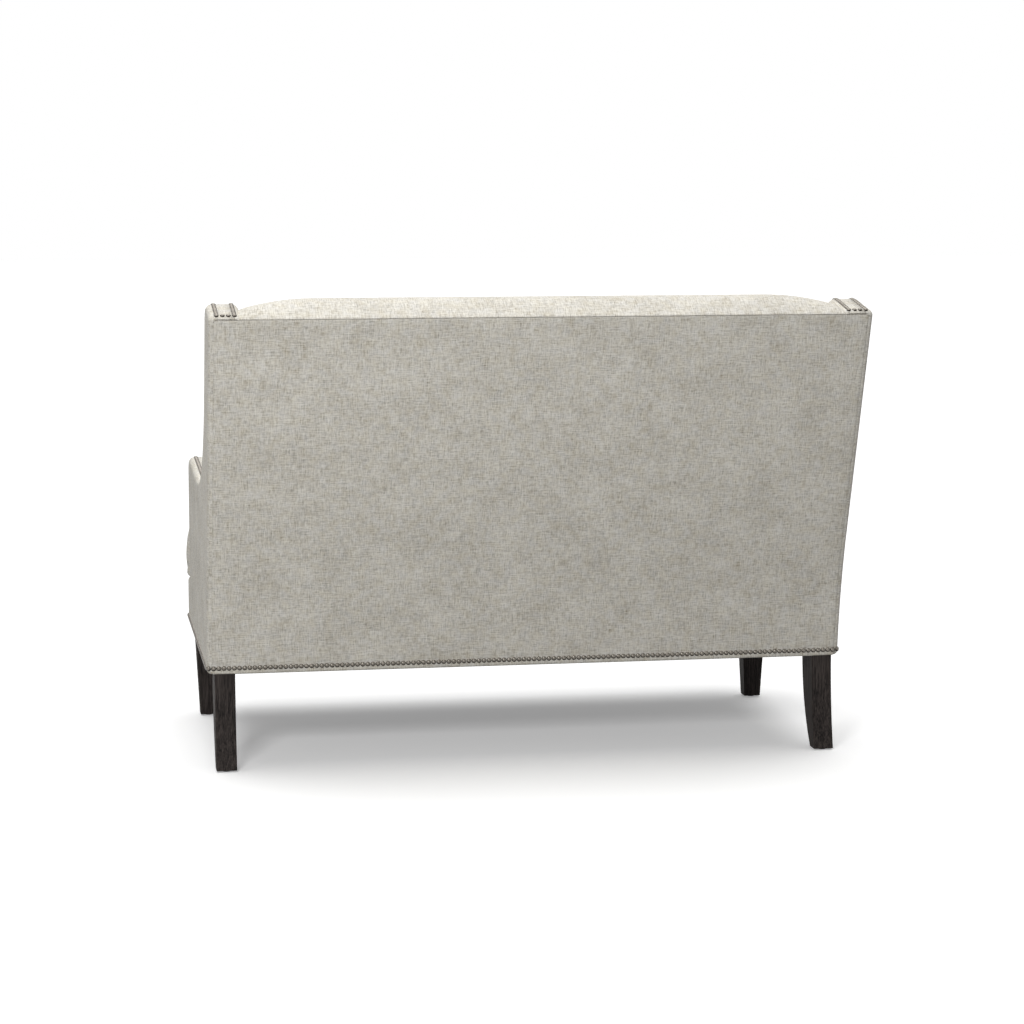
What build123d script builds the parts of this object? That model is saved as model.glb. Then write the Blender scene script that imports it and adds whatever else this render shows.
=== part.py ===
from build123d import *
import math
import os

os.makedirs("parts", exist_ok=True)

# Two-seat settee with swept wings, set-back arms and a loose T-shaped seat cushion.
# Millimetres, +Z up. The seat faces -Y and "left" is the sitter's left, +X.
# The origin is on the floor, under the middle of the overall box.

# Upholstered body, measured over the covers
WIDTH = 1364.0
BASE_DEPTH = 708.0
BASE_HEIGHT = 104.0
BACK_HEIGHT = 751.0  # lower edge of the base to the seam along the top of the back
LOWER_LEAN = 5.7  # degrees, outside back near the base
UPPER_LEAN = 18.5  # degrees, outside back above the bend
BEND_HEIGHT = 147.0  # where the two leans would meet, above the lower edge
BEND_RADIUS = 1200.0  # of the bend between the two leans
BEND_REACH = 0.94  # most of the lower edge that the bend may take up

# Wing and arm outline, seen from the side
WING_DEPTH = 145.0
WING_TOP_RISE = 14.0  # degrees, rising forwards from the seam
WING_TOP_RADIUS = 45.0
SWEEP_RADIUS = 320.0  # wing into arm
ARM_FRONT_HEIGHT = 391.0  # above the lower edge of the base
ARM_SLOPE = 3.2  # degrees, the arm rises towards its front
ARM_FRONT_RADIUS = 40.0
ARM_SETBACK = 77.0  # arm front behind the base front

# Layers of a side, from the outside in
COVER_T = 3.0
PLY_T = 15.0
PLY_EASE = 6.0  # outer edges of the plywood, eased under the cover
FRAME_T = 30.0
SIDE_PAD_T = 19.0
BORDER_T = 12.0  # padded border over the edge of wing and arm
BORDER_ROUND = 8.0
FIT = 0.3  # room between curved faces that lie together

# Timber frame
POST_D = 60.0
ARM_POST_D = 52.0
ARM_RAIL_H = 50.0
WING_TOE = 6.0
RAIL_T = 28.0
BACK_RAIL_T = 30.0
TOP_RAIL_DROP = 16.0
TOP_RAIL_W = 90.0
TUCK_RAIL_LIFT = 25.0
TUCK_RAIL_H = 60.0
UPRIGHT_W = 40.0
UPRIGHT_X = 150.0
FRONT_BLOCK_L = 60.0
FRONT_BLOCK_CHAMFER = 22.0
REAR_BLOCK_L = 90.0
REAR_BLOCK_TIP = 6.0
BLOCK_H = 50.0
STRETCHER_W = 30.0
STRETCHER_H = 52.0

# Suspension and deck
DUST_T = 1.0
DECK_T = 12.0
WEB_T = 1.8
WEB_GAP = 0.4
WEB_W = 60.0
WEB_LONG_COUNT = 9
WEB_LONG_PITCH = 136.0
WEB_CROSS_COUNT = 4
WEB_CROSS_PITCH = 136.0
WEB_RAMP = 12.0
WEB_END_MARGIN = 6.0
BACK_WEB_T = 2.0
BACK_WEB_W = 50.0
BACK_WEB_COUNT = 8
BACK_WEB_PITCH = 150.0

# Inside back, a fixed pad that rolls over the top rail
CROWN_RISE = 34.0  # above the top seam
CROWN_SETBACK = 43.0
CROWN_REAR_RADIUS = 60.0
CROWN_FRONT_RADIUS = 45.0
PAD_TOP_DEPTH = 132.0
PAD_MID_HEIGHT = 556.0
PAD_MID_RADIUS = 800.0
LUMBAR_DEPTH = 172.0
LUMBAR_HEIGHT = 289.0
LUMBAR_RADIUS = 250.0
END_ROLL = 124.0  # length over which the crown rolls down to each wing
END_DROP = 25.0

# Loose T-shaped seat cushion
CUSHION_OVERHANG = 13.0
CUSHION_EDGE_H = 146.0
CUSHION_CROWN_X = 12.0
CUSHION_CROWN_Y = 10.0
CUSHION_SIDE_GAP = 2.0
CUSHION_BACK_GAP = 2.0
CUSHION_EAR_GAP = 6.0
CUSHION_EAR_BULGE = 1.0
CUSHION_CORNER = 36.0
CUSHION_NECK_CORNER = 10.0
CUSHION_DRAW_IN = 5.0  # long edges pulled in between the corners
CUSHION_DRAW_ROUND = 0.4  # share of each half edge that the pull rounds
CUSHION_BOX_TOP = 8.0  # boxing drawn in at the top seam
CUSHION_BOX_BOTTOM = 5.0  # and at the bottom seam
CUSHION_BOX_RISE = 48.0  # height over which the boxing bows out
CUSHION_CROWN_IN = 16.0  # top panel turned in over the crown
CUSHION_COVER_T = 4.0
FOAM_CLIP = 20.0  # corners of the foam cut off inside the rounded cover

# Legs, glides and bolts
LEG_HEIGHT = 201.0
LEG_INSET_X = 37.0  # leg centre line behind the outside cover
FRONT_LEG_TOP = 58.0
FRONT_LEG_FOOT = 38.0
FRONT_LEG_BEHIND = 33.0  # leg centre behind the arm front
REAR_LEG_W = 43.0
REAR_LEG_TOP_D = 80.0
REAR_LEG_FOOT_D = 35.0
REAR_LEG_KICK = 24.0  # foot behind the lower rear edge of the base
LEG_TOP_INSET = 1.0  # top of a rear leg ahead of the lower rear edge
LEG_BEVEL = 2.0
GLIDE_HEIGHT = 3.3
GLIDE_R = 11.0
GLIDE_FLAT_R = 8.5
BOLT_R = 4.0
BOLT_LEG_L = 38.0
BOLT_POST_L = 38.0
BOLT_REAR_IN = 34.0  # rear bolt ahead of the rear face
HOLE_ROOM = 0.15

# Nailhead trim
NAIL_W = 10.8
NAIL_H = 3.5
NAIL_BEVEL = 2.6
NAIL_BASE_LIFT = 13.0
NAIL_OUTER_IN = 19.0  # outer row inside the outside cover
NAIL_INNER_IN = 14.0  # inner row from the inner face of the side
NAIL_CROSS_IN = 9.0  # cross row ahead of the top seam

# Levels and planes that follow from the sizes above
LOW = math.radians(LOWER_LEAN)
TOP = math.radians(UPPER_LEAN)
RISE = math.radians(WING_TOP_RISE)
SLOPE = math.radians(ARM_SLOPE)

Z_BASE = GLIDE_HEIGHT + LEG_HEIGHT
Z_RAIL_LOW = Z_BASE + DUST_T
Z_DECK = Z_BASE + BASE_HEIGHT
Z_SEAM = Z_BASE + BACK_HEIGHT
WEB_STACK = 2 * WEB_T + WEB_GAP
Z_RAIL = Z_DECK - DECK_T - FIT - WEB_STACK

X_OUT = WIDTH / 2
X_PLY = X_OUT - COVER_T
X_FRAME = X_PLY - PLY_T
X_PAD = X_FRAME - FRAME_T
X_IN = X_PAD - SIDE_PAD_T

bend_rise = BACK_HEIGHT - BEND_HEIGHT
sweep_back = BEND_HEIGHT * math.tan(LOW) + bend_rise * math.tan(TOP)
depth = CUSHION_OVERHANG + BASE_DEPTH + sweep_back
Y_FRONT = CUSHION_OVERHANG - depth / 2
Y_REAR = Y_FRONT + BASE_DEPTH
Y_ARM = Y_FRONT + ARM_SETBACK
FAR = 2000.0
PAST = 200.0  # how far a cutting shape runs past what it cuts

BEHIND_COVER = COVER_T + FIT
BEHIND_POST = BEHIND_COVER + POST_D
BEHIND_RAIL = BEHIND_COVER + RAIL_T
AHEAD_OF_POST = BEHIND_POST + FIT
AHEAD_OF_RAIL = BEHIND_RAIL + FIT
BEHIND_BACK_RAIL = BEHIND_COVER + BACK_RAIL_T
BEHIND_WEB = BEHIND_BACK_RAIL + FIT + BACK_WEB_T
UNDER_BORDER = BORDER_T + FIT
ARM_POST_FRONT = Y_ARM + UNDER_BORDER
ARM_POST_REAR = ARM_POST_FRONT + ARM_POST_D

NODES = {}


def pair(name, solid):
    """Keep a piece of the left side and its mirror image on the right."""
    NODES[name + "_left"] = solid
    NODES[name + "_right"] = mirror(solid, about=Plane.YZ)


def both(solids):
    """Pieces of the left side with their mirror images."""
    return list(solids) + [mirror(s, about=Plane.YZ) for s in solids]


def block(x0, x1, y0, y1, z0, z1):
    """A box between limits."""
    centre = Pos((x0 + x1) / 2, (y0 + y1) / 2, (z0 + z1) / 2)
    return centre * Box(x1 - x0, y1 - y0, z1 - z0)


def slab(face, x0, x1):
    """A side-view face, in Y and Z, made solid between two X positions."""
    return extrude(Plane.YZ.offset(x0) * face, amount=x1 - x0, dir=(1, 0, 0))


def quad(*points):
    """A flat face through points of the side view."""
    return make_face(Polyline(*points, close=True))


def unit(p, q):
    length = math.dist(p, q)
    return ((q[0] - p[0]) / length, (q[1] - p[1]) / length)


def moved_corner(corner, before, into_before, after, into_after):
    """Where two edges meet once each has moved to its left."""
    n0 = (-before[1], before[0])
    n1 = (-after[1], after[0])
    det = n0[0] * n1[1] - n0[1] * n1[0]
    dy = (into_before * n1[1] - into_after * n0[1]) / det
    dz = (into_after * n0[0] - into_before * n1[0]) / det
    return (corner[0] + dy, corner[1] + dz)


# Corners of the side outline, before they are rounded
H = (Y_REAR, Z_BASE)
Q = (Y_REAR + BEND_HEIGHT * math.tan(LOW), Z_BASE + BEND_HEIGHT)
A = (Q[0] + bend_rise * math.tan(TOP), Z_SEAM)
wing_run = WING_DEPTH / (1 + math.tan(RISE) * math.tan(TOP))
B = (A[0] - wing_run, A[1] + wing_run * math.tan(RISE))
D = (Y_ARM, Z_BASE + ARM_FRONT_HEIGHT)
wing_offset = A[0] - A[1] * math.tan(TOP) - WING_DEPTH - D[0]
c_z = (D[1] - wing_offset * math.tan(SLOPE)) / (1 + math.tan(TOP) * math.tan(SLOPE))
C = (D[0] + wing_offset + c_z * math.tan(TOP), c_z)
E = (Y_ARM, Z_DECK)
F = (Y_FRONT, Z_DECK)
G = (Y_FRONT, Z_BASE)
CORNERS = [H, Q, A, B, C, D, E, F, G]

UP_LOW = (math.sin(LOW), math.cos(LOW))
UP_TOP = (math.sin(TOP), math.cos(TOP))
lower_run = BEND_HEIGHT / math.cos(LOW)
upper_run = bend_rise / math.cos(TOP)
half_bend = math.tan((TOP - LOW) / 2)
bend_radius = min(BEND_RADIUS, BEND_REACH * lower_run / half_bend)


def outline(edge=0.0, ledge=0.0, front=0.0, bottom=0.0):
    """Side outline, with wing and arm edge, ear ledge, front and bottom moved in."""
    into = [0.0, 0.0, edge, edge, edge, edge, ledge, front, bottom]
    points = []
    for i, corner in enumerate(CORNERS):
        before = unit(CORNERS[i - 1], corner)
        after = unit(corner, CORNERS[(i + 1) % len(CORNERS)])
        points.append(moved_corner(corner, before, into[i - 1], after, into[i]))
    radii = [0.0] * len(CORNERS)
    radii[1] = bend_radius
    radii[3] = max(WING_TOP_RADIUS - edge, 1.0)
    radii[4] = SWEEP_RADIUS + edge
    radii[5] = max(ARM_FRONT_RADIUS - edge, 1.0)
    return make_face(FilletPolyline(*points, radius=radii, close=True))


def rear_zone(depth_in):
    """All that lies behind the outside back once it has moved in by a depth."""
    bend = moved_corner(Q, UP_LOW, depth_in, UP_TOP, depth_in)
    low = (bend[0] - UP_LOW[0] * (lower_run + PAST), bend[1] - UP_LOW[1] * (lower_run + PAST))
    high = (bend[0] + UP_TOP[0] * (upper_run + PAST), bend[1] + UP_TOP[1] * (upper_run + PAST))
    points = [low, bend, high, (FAR, high[1]), (FAR, low[1])]
    radii = [0.0, bend_radius + depth_in, 0.0, 0.0, 0.0]
    return make_face(FilletPolyline(*points, radius=radii, close=True))


def rear_y(z, depth_in=0.0):
    """Y of the outside back at a height, moved in by a depth."""
    radius = bend_radius + depth_in
    tangent = bend_radius * half_bend
    start = (Q[0] - tangent * UP_LOW[0], Q[1] - tangent * UP_LOW[1])
    centre = (start[0] + bend_radius * UP_LOW[1], start[1] - bend_radius * UP_LOW[0])
    lean = math.asin(max(-1.0, min(1.0, (z - centre[1]) / radius)))
    lean = max(LOW, min(TOP, lean))
    y = centre[0] - radius * math.cos(lean)
    return y + (z - centre[1] - radius * math.sin(lean)) * math.tan(lean)


def at_seam(down, depth_in):
    """Point measured from the top seam, down the upper back and square to it."""
    y = A[0] - down * UP_TOP[0] - depth_in * UP_TOP[1]
    z = A[1] - down * UP_TOP[1] + depth_in * UP_TOP[0]
    return (y, z)


def upper_strip(down0, down1, in0, in1):
    """Rectangle in the frame of the upper back."""
    return quad(at_seam(down0, in0), at_seam(down0, in1), at_seam(down1, in1), at_seam(down1, in0))


def level_strip(z0, z1):
    """Everything in the side view between two heights."""
    return quad((-FAR, z0), (FAR, z0), (FAR, z1), (-FAR, z1))


def rear_band(in0, in1):
    """Layer that follows the outside back between two depths."""
    return rear_zone(in1) - rear_zone(in0)


def edge_band(in0, in1):
    """Layer that follows the edge of wing and arm, down to the deck."""
    above_deck = outline(edge=in0) & level_strip(Z_DECK, FAR)
    return above_deck - outline(edge=in1) - rear_zone(BEHIND_COVER)


def outer_edges(strip, inner_face, x0, x1):
    """Long edges of a strip that lie outside a side-view face."""
    core = slab(inner_face, x0 - 1, x1 + 1).solid()
    sides = [e for e in strip.edges() if e.bounding_box().size.X < 1e-4]
    return [e for e in sides if e.length > 2 * BORDER_T and not core.is_inside(e @ 0.5)]


# Legs. The front pair is a square taper, the rear pair a sabre that kicks back.
leg_x = X_OUT - LEG_INSET_X
front_leg_y = Y_ARM + FRONT_LEG_BEHIND
rear_bolt_y = Y_REAR - BOLT_REAR_IN
rear_foot_y = Y_REAR + REAR_LEG_KICK - REAR_LEG_FOOT_D / 2


def bolt_hole(y):
    centre = Pos(leg_x, y, Z_BASE + (BOLT_POST_L - BOLT_LEG_L) / 2)
    return centre * Cylinder(BOLT_R + HOLE_ROOM, BOLT_LEG_L + BOLT_POST_L)


def leg_taper(centre):
    """Tapered outline of a front leg about a centre line, seen from one side."""
    top = FRONT_LEG_TOP / 2
    foot = FRONT_LEG_FOOT / 2
    return quad(
        (centre - foot, GLIDE_HEIGHT),
        (centre + foot, GLIDE_HEIGHT),
        (centre + top, Z_BASE),
        (centre - top, Z_BASE),
    )


front_leg = slab(leg_taper(front_leg_y), leg_x - FRONT_LEG_TOP, leg_x + FRONT_LEG_TOP)
front_taper = Plane.XZ.offset(-front_leg_y - FRONT_LEG_TOP) * leg_taper(leg_x)
front_leg = front_leg & extrude(front_taper, amount=2 * FRONT_LEG_TOP, dir=(0, -1, 0))
arrises = [e for e in front_leg.edges() if e.bounding_box().size.Z > LEG_HEIGHT / 2]
front_leg = chamfer(arrises, LEG_BEVEL)
pair("front_leg", front_leg - bolt_hole(front_leg_y))


def sabre_arc(y_top, y_foot):
    """Curve that leaves the base upright and sweeps back to the foot."""
    kick = y_foot - y_top
    radius = (LEG_HEIGHT**2 + kick**2) / (2 * kick)
    half = LEG_HEIGHT / 2
    y_half = y_top + radius - math.sqrt(radius**2 - half**2)
    return ThreePointArc((y_top, Z_BASE), (y_half, Z_BASE - half), (y_foot, GLIDE_HEIGHT))


leg_top_rear = Y_REAR - LEG_TOP_INSET
leg_top_front = leg_top_rear - REAR_LEG_TOP_D
foot_rear = Y_REAR + REAR_LEG_KICK
foot_front = foot_rear - REAR_LEG_FOOT_D
sabre = make_face(
    [
        sabre_arc(leg_top_rear, foot_rear),
        Line((foot_rear, GLIDE_HEIGHT), (foot_front, GLIDE_HEIGHT)),
        sabre_arc(leg_top_front, foot_front),
        Line((leg_top_front, Z_BASE), (leg_top_rear, Z_BASE)),
    ]
)
rear_leg = slab(sabre, leg_x - REAR_LEG_W / 2, leg_x + REAR_LEG_W / 2)
swept = [e for e in rear_leg.edges() if e.geom_type == GeomType.CIRCLE]
rear_leg = chamfer(swept, LEG_BEVEL)
pair("rear_leg", rear_leg - bolt_hole(rear_bolt_y))

glide_half = make_face(
    Polyline(
        (0, 0),
        (GLIDE_FLAT_R, 0),
        (GLIDE_R, GLIDE_HEIGHT),
        (0, GLIDE_HEIGHT),
        close=True,
    )
)
glide = revolve(Plane.XZ * glide_half, axis=Axis.Z)
glides = [Pos(leg_x, y, 0) * glide for y in (front_leg_y, rear_foot_y)]
NODES["leg_glides"] = Compound(children=both(glides))

bolt = Pos(0, 0, Z_BASE + (BOLT_POST_L - BOLT_LEG_L) / 2) * Cylinder(BOLT_R, BOLT_LEG_L + BOLT_POST_L)
bolts = [Pos(leg_x, y, 0) * bolt for y in (front_leg_y, rear_bolt_y)]
NODES["leg_bolts"] = Compound(children=both(bolts))

# Base frame
front_rail_rear = Y_FRONT + COVER_T + RAIL_T
NODES["front_rail"] = block(-X_FRAME, X_FRAME, Y_FRONT + COVER_T, front_rail_rear, Z_RAIL_LOW, Z_RAIL)
rail_band = rear_band(BEHIND_COVER, BEHIND_RAIL) & level_strip(Z_RAIL_LOW, Z_RAIL)
NODES["rear_rail"] = slab(rail_band, -X_PAD, X_PAD)

side_rail = block(X_PAD, X_FRAME, ARM_POST_REAR, Y_REAR, Z_RAIL_LOW, Z_RAIL)
pair("side_rail", side_rail - slab(rear_zone(AHEAD_OF_POST), X_PAD, X_FRAME))

front_block = block(
    X_FRAME - FRONT_BLOCK_L, X_FRAME, front_rail_rear, ARM_POST_FRONT, Z_RAIL_LOW, Z_RAIL_LOW + BLOCK_H
)
free_edge = front_block.edges().filter_by(Axis.Z).group_by(Axis.Y)[-1].sort_by(Axis.X)[0]
front_block = chamfer(free_edge, FRONT_BLOCK_CHAMFER)
NODES["front_corner_blocks"] = Compound(children=both([front_block]))

block_rear = rear_y(Z_RAIL_LOW, BEHIND_RAIL)
rear_triangle = make_face(
    Polyline(
        (X_PAD, Y_REAR),
        (X_PAD - REAR_BLOCK_L, Y_REAR),
        (X_PAD - REAR_BLOCK_L, block_rear - REAR_BLOCK_TIP),
        (X_PAD, block_rear - REAR_BLOCK_L),
        close=True,
    )
)
rear_block = extrude(Pos(0, 0, Z_RAIL_LOW) * rear_triangle, amount=BLOCK_H, dir=(0, 0, 1))
rear_block = rear_block - slab(rear_zone(AHEAD_OF_RAIL), X_PAD - REAR_BLOCK_L - PAST, X_PAD)
NODES["rear_corner_blocks"] = Compound(children=both([rear_block]))

stretcher = block(
    -STRETCHER_W / 2, STRETCHER_W / 2, front_rail_rear, Y_REAR, Z_RAIL_LOW, Z_RAIL_LOW + STRETCHER_H
)
NODES["seat_stretcher"] = stretcher - slab(rear_zone(AHEAD_OF_RAIL), -STRETCHER_W, STRETCHER_W)

# Side frames: plywood panel, posts, arm rail and wing board
side_face = outline(edge=UNDER_BORDER, ledge=COVER_T, front=BEHIND_COVER, bottom=COVER_T)
side_panel = slab(side_face - rear_zone(BEHIND_COVER), X_FRAME, X_PLY)
side_panel = chamfer(side_panel.faces().sort_by(Axis.X)[-1].outer_wire().edges(), PLY_EASE)
pair("side_panel", side_panel)

frame_face = outline(edge=UNDER_BORDER)
post_face = frame_face & rear_band(BEHIND_COVER, BEHIND_POST)
back_post = slab(post_face, X_PAD, X_FRAME) - bolt_hole(rear_bolt_y)
pair("back_post", back_post)

arm_post_zone = quad(
    (ARM_POST_FRONT, Z_BASE), (ARM_POST_REAR, Z_BASE), (ARM_POST_REAR, FAR), (ARM_POST_FRONT, FAR)
)
arm_post = slab(frame_face & arm_post_zone, X_PAD, X_FRAME) - bolt_hole(front_leg_y)
pair("arm_post", arm_post)


def arm_line(y):
    """Height of the frame's edge along the top of the arm."""
    return D[1] - (y - D[0]) * math.tan(SLOPE) - UNDER_BORDER / math.cos(SLOPE)


arm_rail_face = quad(
    (ARM_POST_REAR, arm_line(ARM_POST_REAR)),
    (ARM_POST_REAR, arm_line(ARM_POST_REAR) - ARM_RAIL_H),
    (A[0], arm_line(A[0]) - ARM_RAIL_H),
    (A[0], arm_line(A[0])),
)
pair("arm_rail", slab(arm_rail_face - rear_zone(AHEAD_OF_POST), X_PAD, X_FRAME))

sweep_turn = math.radians(90) - TOP - SLOPE
sweep_r = SWEEP_RADIUS + UNDER_BORDER
frame_c = moved_corner(C, unit(B, C), UNDER_BORDER, unit(C, D), UNDER_BORDER)
sweep_end = frame_c[0] - sweep_r * math.tan(sweep_turn / 2) * math.cos(SLOPE)
toe_y = sweep_end + math.sqrt(2 * sweep_r * WING_TOE)
above_arm = quad((toe_y, arm_line(toe_y)), (FAR, arm_line(FAR)), (FAR, FAR), (toe_y, FAR))
wing_face = (frame_face - rear_zone(AHEAD_OF_POST)) & above_arm
pair("wing_board", slab(wing_face, X_PAD, X_FRAME))

# Back frame between the two sides
top_rail_face = upper_strip(TOP_RAIL_DROP, TOP_RAIL_DROP + TOP_RAIL_W, BEHIND_COVER, BEHIND_BACK_RAIL)
NODES["back_top_rail"] = slab(top_rail_face, -X_PAD, X_PAD)

tuck_low = Z_DECK + TUCK_RAIL_LIFT
tuck_high = tuck_low + TUCK_RAIL_H
back_layer = rear_band(BEHIND_COVER, BEHIND_BACK_RAIL)
NODES["back_tuck_rail"] = slab(back_layer & level_strip(tuck_low, tuck_high), -X_PAD, X_PAD)

under_top_rail = upper_strip(TOP_RAIL_DROP + TOP_RAIL_W, BACK_HEIGHT, -PAST, PAST)
upright_face = back_layer & level_strip(tuck_high, Z_SEAM) & under_top_rail
upright = slab(upright_face, UPRIGHT_X - UPRIGHT_W / 2, UPRIGHT_X + UPRIGHT_W / 2)
NODES["back_uprights"] = Compound(children=both([upright]))

web_layer = rear_band(BEHIND_BACK_RAIL + FIT, BEHIND_WEB) & level_strip(tuck_low + WEB_END_MARGIN, Z_SEAM)
web_layer = web_layer & upper_strip(TOP_RAIL_DROP + WEB_END_MARGIN, BACK_HEIGHT, -PAST, PAST)
back_straps = []
for i in range(BACK_WEB_COUNT):
    x = (i - (BACK_WEB_COUNT - 1) / 2) * BACK_WEB_PITCH
    back_straps.append(slab(web_layer, x - BACK_WEB_W / 2, x + BACK_WEB_W / 2))
NODES["back_webbing"] = Compound(children=back_straps)

# Seat webbing, woven over and under
web_rear = rear_y(Z_RAIL, BEHIND_COVER) - WEB_END_MARGIN
web_front = Y_FRONT + COVER_T + WEB_END_MARGIN
web_side = X_FRAME - WEB_END_MARGIN
long_x = [(i - (WEB_LONG_COUNT - 1) / 2) * WEB_LONG_PITCH for i in range(WEB_LONG_COUNT)]
cross_mid = (ARM_POST_REAR + rear_y(Z_RAIL, BEHIND_POST)) / 2
cross_y = [cross_mid + (j - (WEB_CROSS_COUNT - 1) / 2) * WEB_CROSS_PITCH for j in range(WEB_CROSS_COUNT)]


def strap_face(start, end, crossings, first_high):
    """Side of a strap that rises over every second strap it meets."""
    half = WEB_W / 2 + WEB_RAMP / 2
    path = [(start, 0.0)]
    for k, c in enumerate(crossings):
        level = WEB_T + WEB_GAP if (k % 2 == 0) == first_high else 0.0
        path.append((c - half, level))
        path.append((c + half, level))
    path.append((end, 0.0))
    lower = [(p, Z_RAIL + level) for p, level in path]
    upper = [(p, Z_RAIL + level + WEB_T) for p, level in reversed(path)]
    return make_face(Polyline(*lower, *upper, close=True))


long_straps = []
for i, x in enumerate(long_x):
    face = strap_face(web_front, web_rear, cross_y, i % 2 == 0)
    long_straps.append(slab(face, x - WEB_W / 2, x + WEB_W / 2))
NODES["seat_webbing_long"] = Compound(children=long_straps)

cross_straps = []
for j, y in enumerate(cross_y):
    face = strap_face(-web_side, web_side, long_x, j % 2 == 1)
    strap = extrude(Plane.XZ.offset(-y - WEB_W / 2) * face, amount=WEB_W, dir=(0, -1, 0))
    cross_straps.append(strap)
NODES["seat_webbing_cross"] = Compound(children=cross_straps)

# Deck under the cushion, and the dust cover under the frame
deck_neck = X_PAD - FIT
deck_ear = X_FRAME - FIT
deck_step = ARM_POST_FRONT - FIT
deck_front = Y_FRONT + COVER_T + FIT
deck_plan = make_face(
    Polyline(
        (-deck_ear, deck_front),
        (deck_ear, deck_front),
        (deck_ear, deck_step),
        (deck_neck, deck_step),
        (deck_neck, A[0]),
        (-deck_neck, A[0]),
        (-deck_neck, deck_step),
        (-deck_ear, deck_step),
        close=True,
    )
)
deck = extrude(Pos(0, 0, Z_DECK - DECK_T) * deck_plan, amount=DECK_T, dir=(0, 0, 1))
NODES["seat_deck"] = deck - slab(rear_zone(BEHIND_BACK_RAIL + FIT), -X_OUT, X_OUT)

dust = block(-X_FRAME, X_FRAME, deck_front, A[0], Z_BASE, Z_RAIL_LOW)
dust = dust - slab(rear_zone(BEHIND_COVER), -X_OUT, X_OUT)
arm_notch = block(X_PAD - FIT, X_OUT, ARM_POST_FRONT - FIT, ARM_POST_REAR + FIT, 0, Z_DECK)
post_notch = slab(rear_zone(BEHIND_POST + FIT), X_PAD - FIT, X_OUT)
for notch in both([arm_notch, post_notch]):
    dust = dust - notch
NODES["dust_cover"] = dust

# Padding and covers of the sides
pad_face = (frame_face - rear_zone(AHEAD_OF_POST)) & level_strip(Z_DECK + FIT, FAR)
pair("inside_side_pad", slab(pad_face, X_IN, X_PAD))

border_face = edge_band(0.0, BORDER_T)
border = slab(border_face, X_IN, X_OUT)
border = fillet(outer_edges(border, outline(edge=BORDER_T / 2), X_IN, X_OUT), BORDER_ROUND)
pair("side_border", border)

cover_face = outline(edge=UNDER_BORDER, front=BEHIND_COVER) - rear_zone(BEHIND_COVER)
pair("outside_side_cover", slab(cover_face, X_PLY, X_OUT))

NODES["outside_back_cover"] = slab(outline() & rear_zone(COVER_T), -X_OUT, X_OUT)
NODES["front_border_cover"] = block(-X_OUT, X_OUT, Y_FRONT, Y_FRONT + COVER_T, Z_BASE, Z_DECK)

# Inside back: one padded section, rolled down towards each wing at its ends
crown_z = Z_SEAM + CROWN_RISE
pad_bottom = Z_DECK + FIT
lumbar_y = rear_y(Z_BASE + LUMBAR_HEIGHT) - LUMBAR_DEPTH


def back_section(drop):
    """Section of the inside back with its crown lowered."""
    seam = at_seam(0.0, BEHIND_COVER)
    top_z = crown_z - drop
    mid_z = Z_BASE + PAD_MID_HEIGHT
    points = [
        seam,
        (A[0] - CROWN_SETBACK, top_z),
        (A[0] + (top_z - Z_SEAM) * math.tan(TOP) - PAD_TOP_DEPTH, top_z),
        (rear_y(mid_z) - PAD_TOP_DEPTH, mid_z),
        (lumbar_y, Z_BASE + LUMBAR_HEIGHT),
        (lumbar_y, pad_bottom),
        (seam[0] - (seam[1] - pad_bottom) * math.tan(TOP), pad_bottom),
    ]
    radii = [0.0, CROWN_REAR_RADIUS, CROWN_FRONT_RADIUS, PAD_MID_RADIUS, LUMBAR_RADIUS, 0.0, 0.0]
    return make_face(FilletPolyline(*points, radius=radii, close=True))


pad_half = X_IN - FIT
pad_flat = pad_half - END_ROLL
roll_sections = []
for step in range(4):
    share = step / 3
    section = back_section(END_DROP * share**2)
    roll_sections.append(Plane.YZ.offset(pad_flat + END_ROLL * share) * section)
pad_end = loft(roll_sections)
inside_back = slab(back_section(0.0), -pad_flat, pad_flat) + pad_end + mirror(pad_end, about=Plane.YZ)
hidden = upper_strip(TOP_RAIL_DROP - FIT, BACK_HEIGHT + PAST, -PAST, PAST)
inside_back = inside_back - slab(rear_zone(BEHIND_WEB + FIT) & hidden, -X_OUT, X_OUT)
NODES["inside_back_pad"] = inside_back

# Loose seat cushion: crowned top, bowed boxing, long edges drawn in
cushion_low = Z_DECK + FIT
cushion_front = Y_FRONT - CUSHION_OVERHANG
cushion_rear = lumbar_y - CUSHION_BACK_GAP
cushion_neck = X_IN - CUSHION_SIDE_GAP
cushion_ear = X_OUT + CUSHION_EAR_BULGE
cushion_step = Y_ARM - CUSHION_EAR_GAP


def cushion_plan(inset):
    """T-shaped outline of the cushion, moved in by an inset."""
    ear = cushion_ear - inset
    neck = cushion_neck - inset
    front = cushion_front + inset
    step = cushion_step - inset
    rear = cushion_rear - inset
    outer = CUSHION_CORNER - inset
    inner = CUSHION_NECK_CORNER + inset
    right = [
        (0.0, front + CUSHION_DRAW_IN, CUSHION_DRAW_ROUND * ear**2 / CUSHION_DRAW_IN),
        (ear, front, outer),
        (ear, step, outer),
        (neck, step, inner),
        (neck, rear, outer),
        (0.0, rear - CUSHION_DRAW_IN, CUSHION_DRAW_ROUND * neck**2 / CUSHION_DRAW_IN),
    ]
    left = [(-x, y, r) for x, y, r in reversed(right[1:-1])]
    corners = right + left
    points = [(x, y) for x, y, r in corners]
    return make_face(FilletPolyline(*points, radius=[r for x, y, r in corners], close=True))


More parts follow.
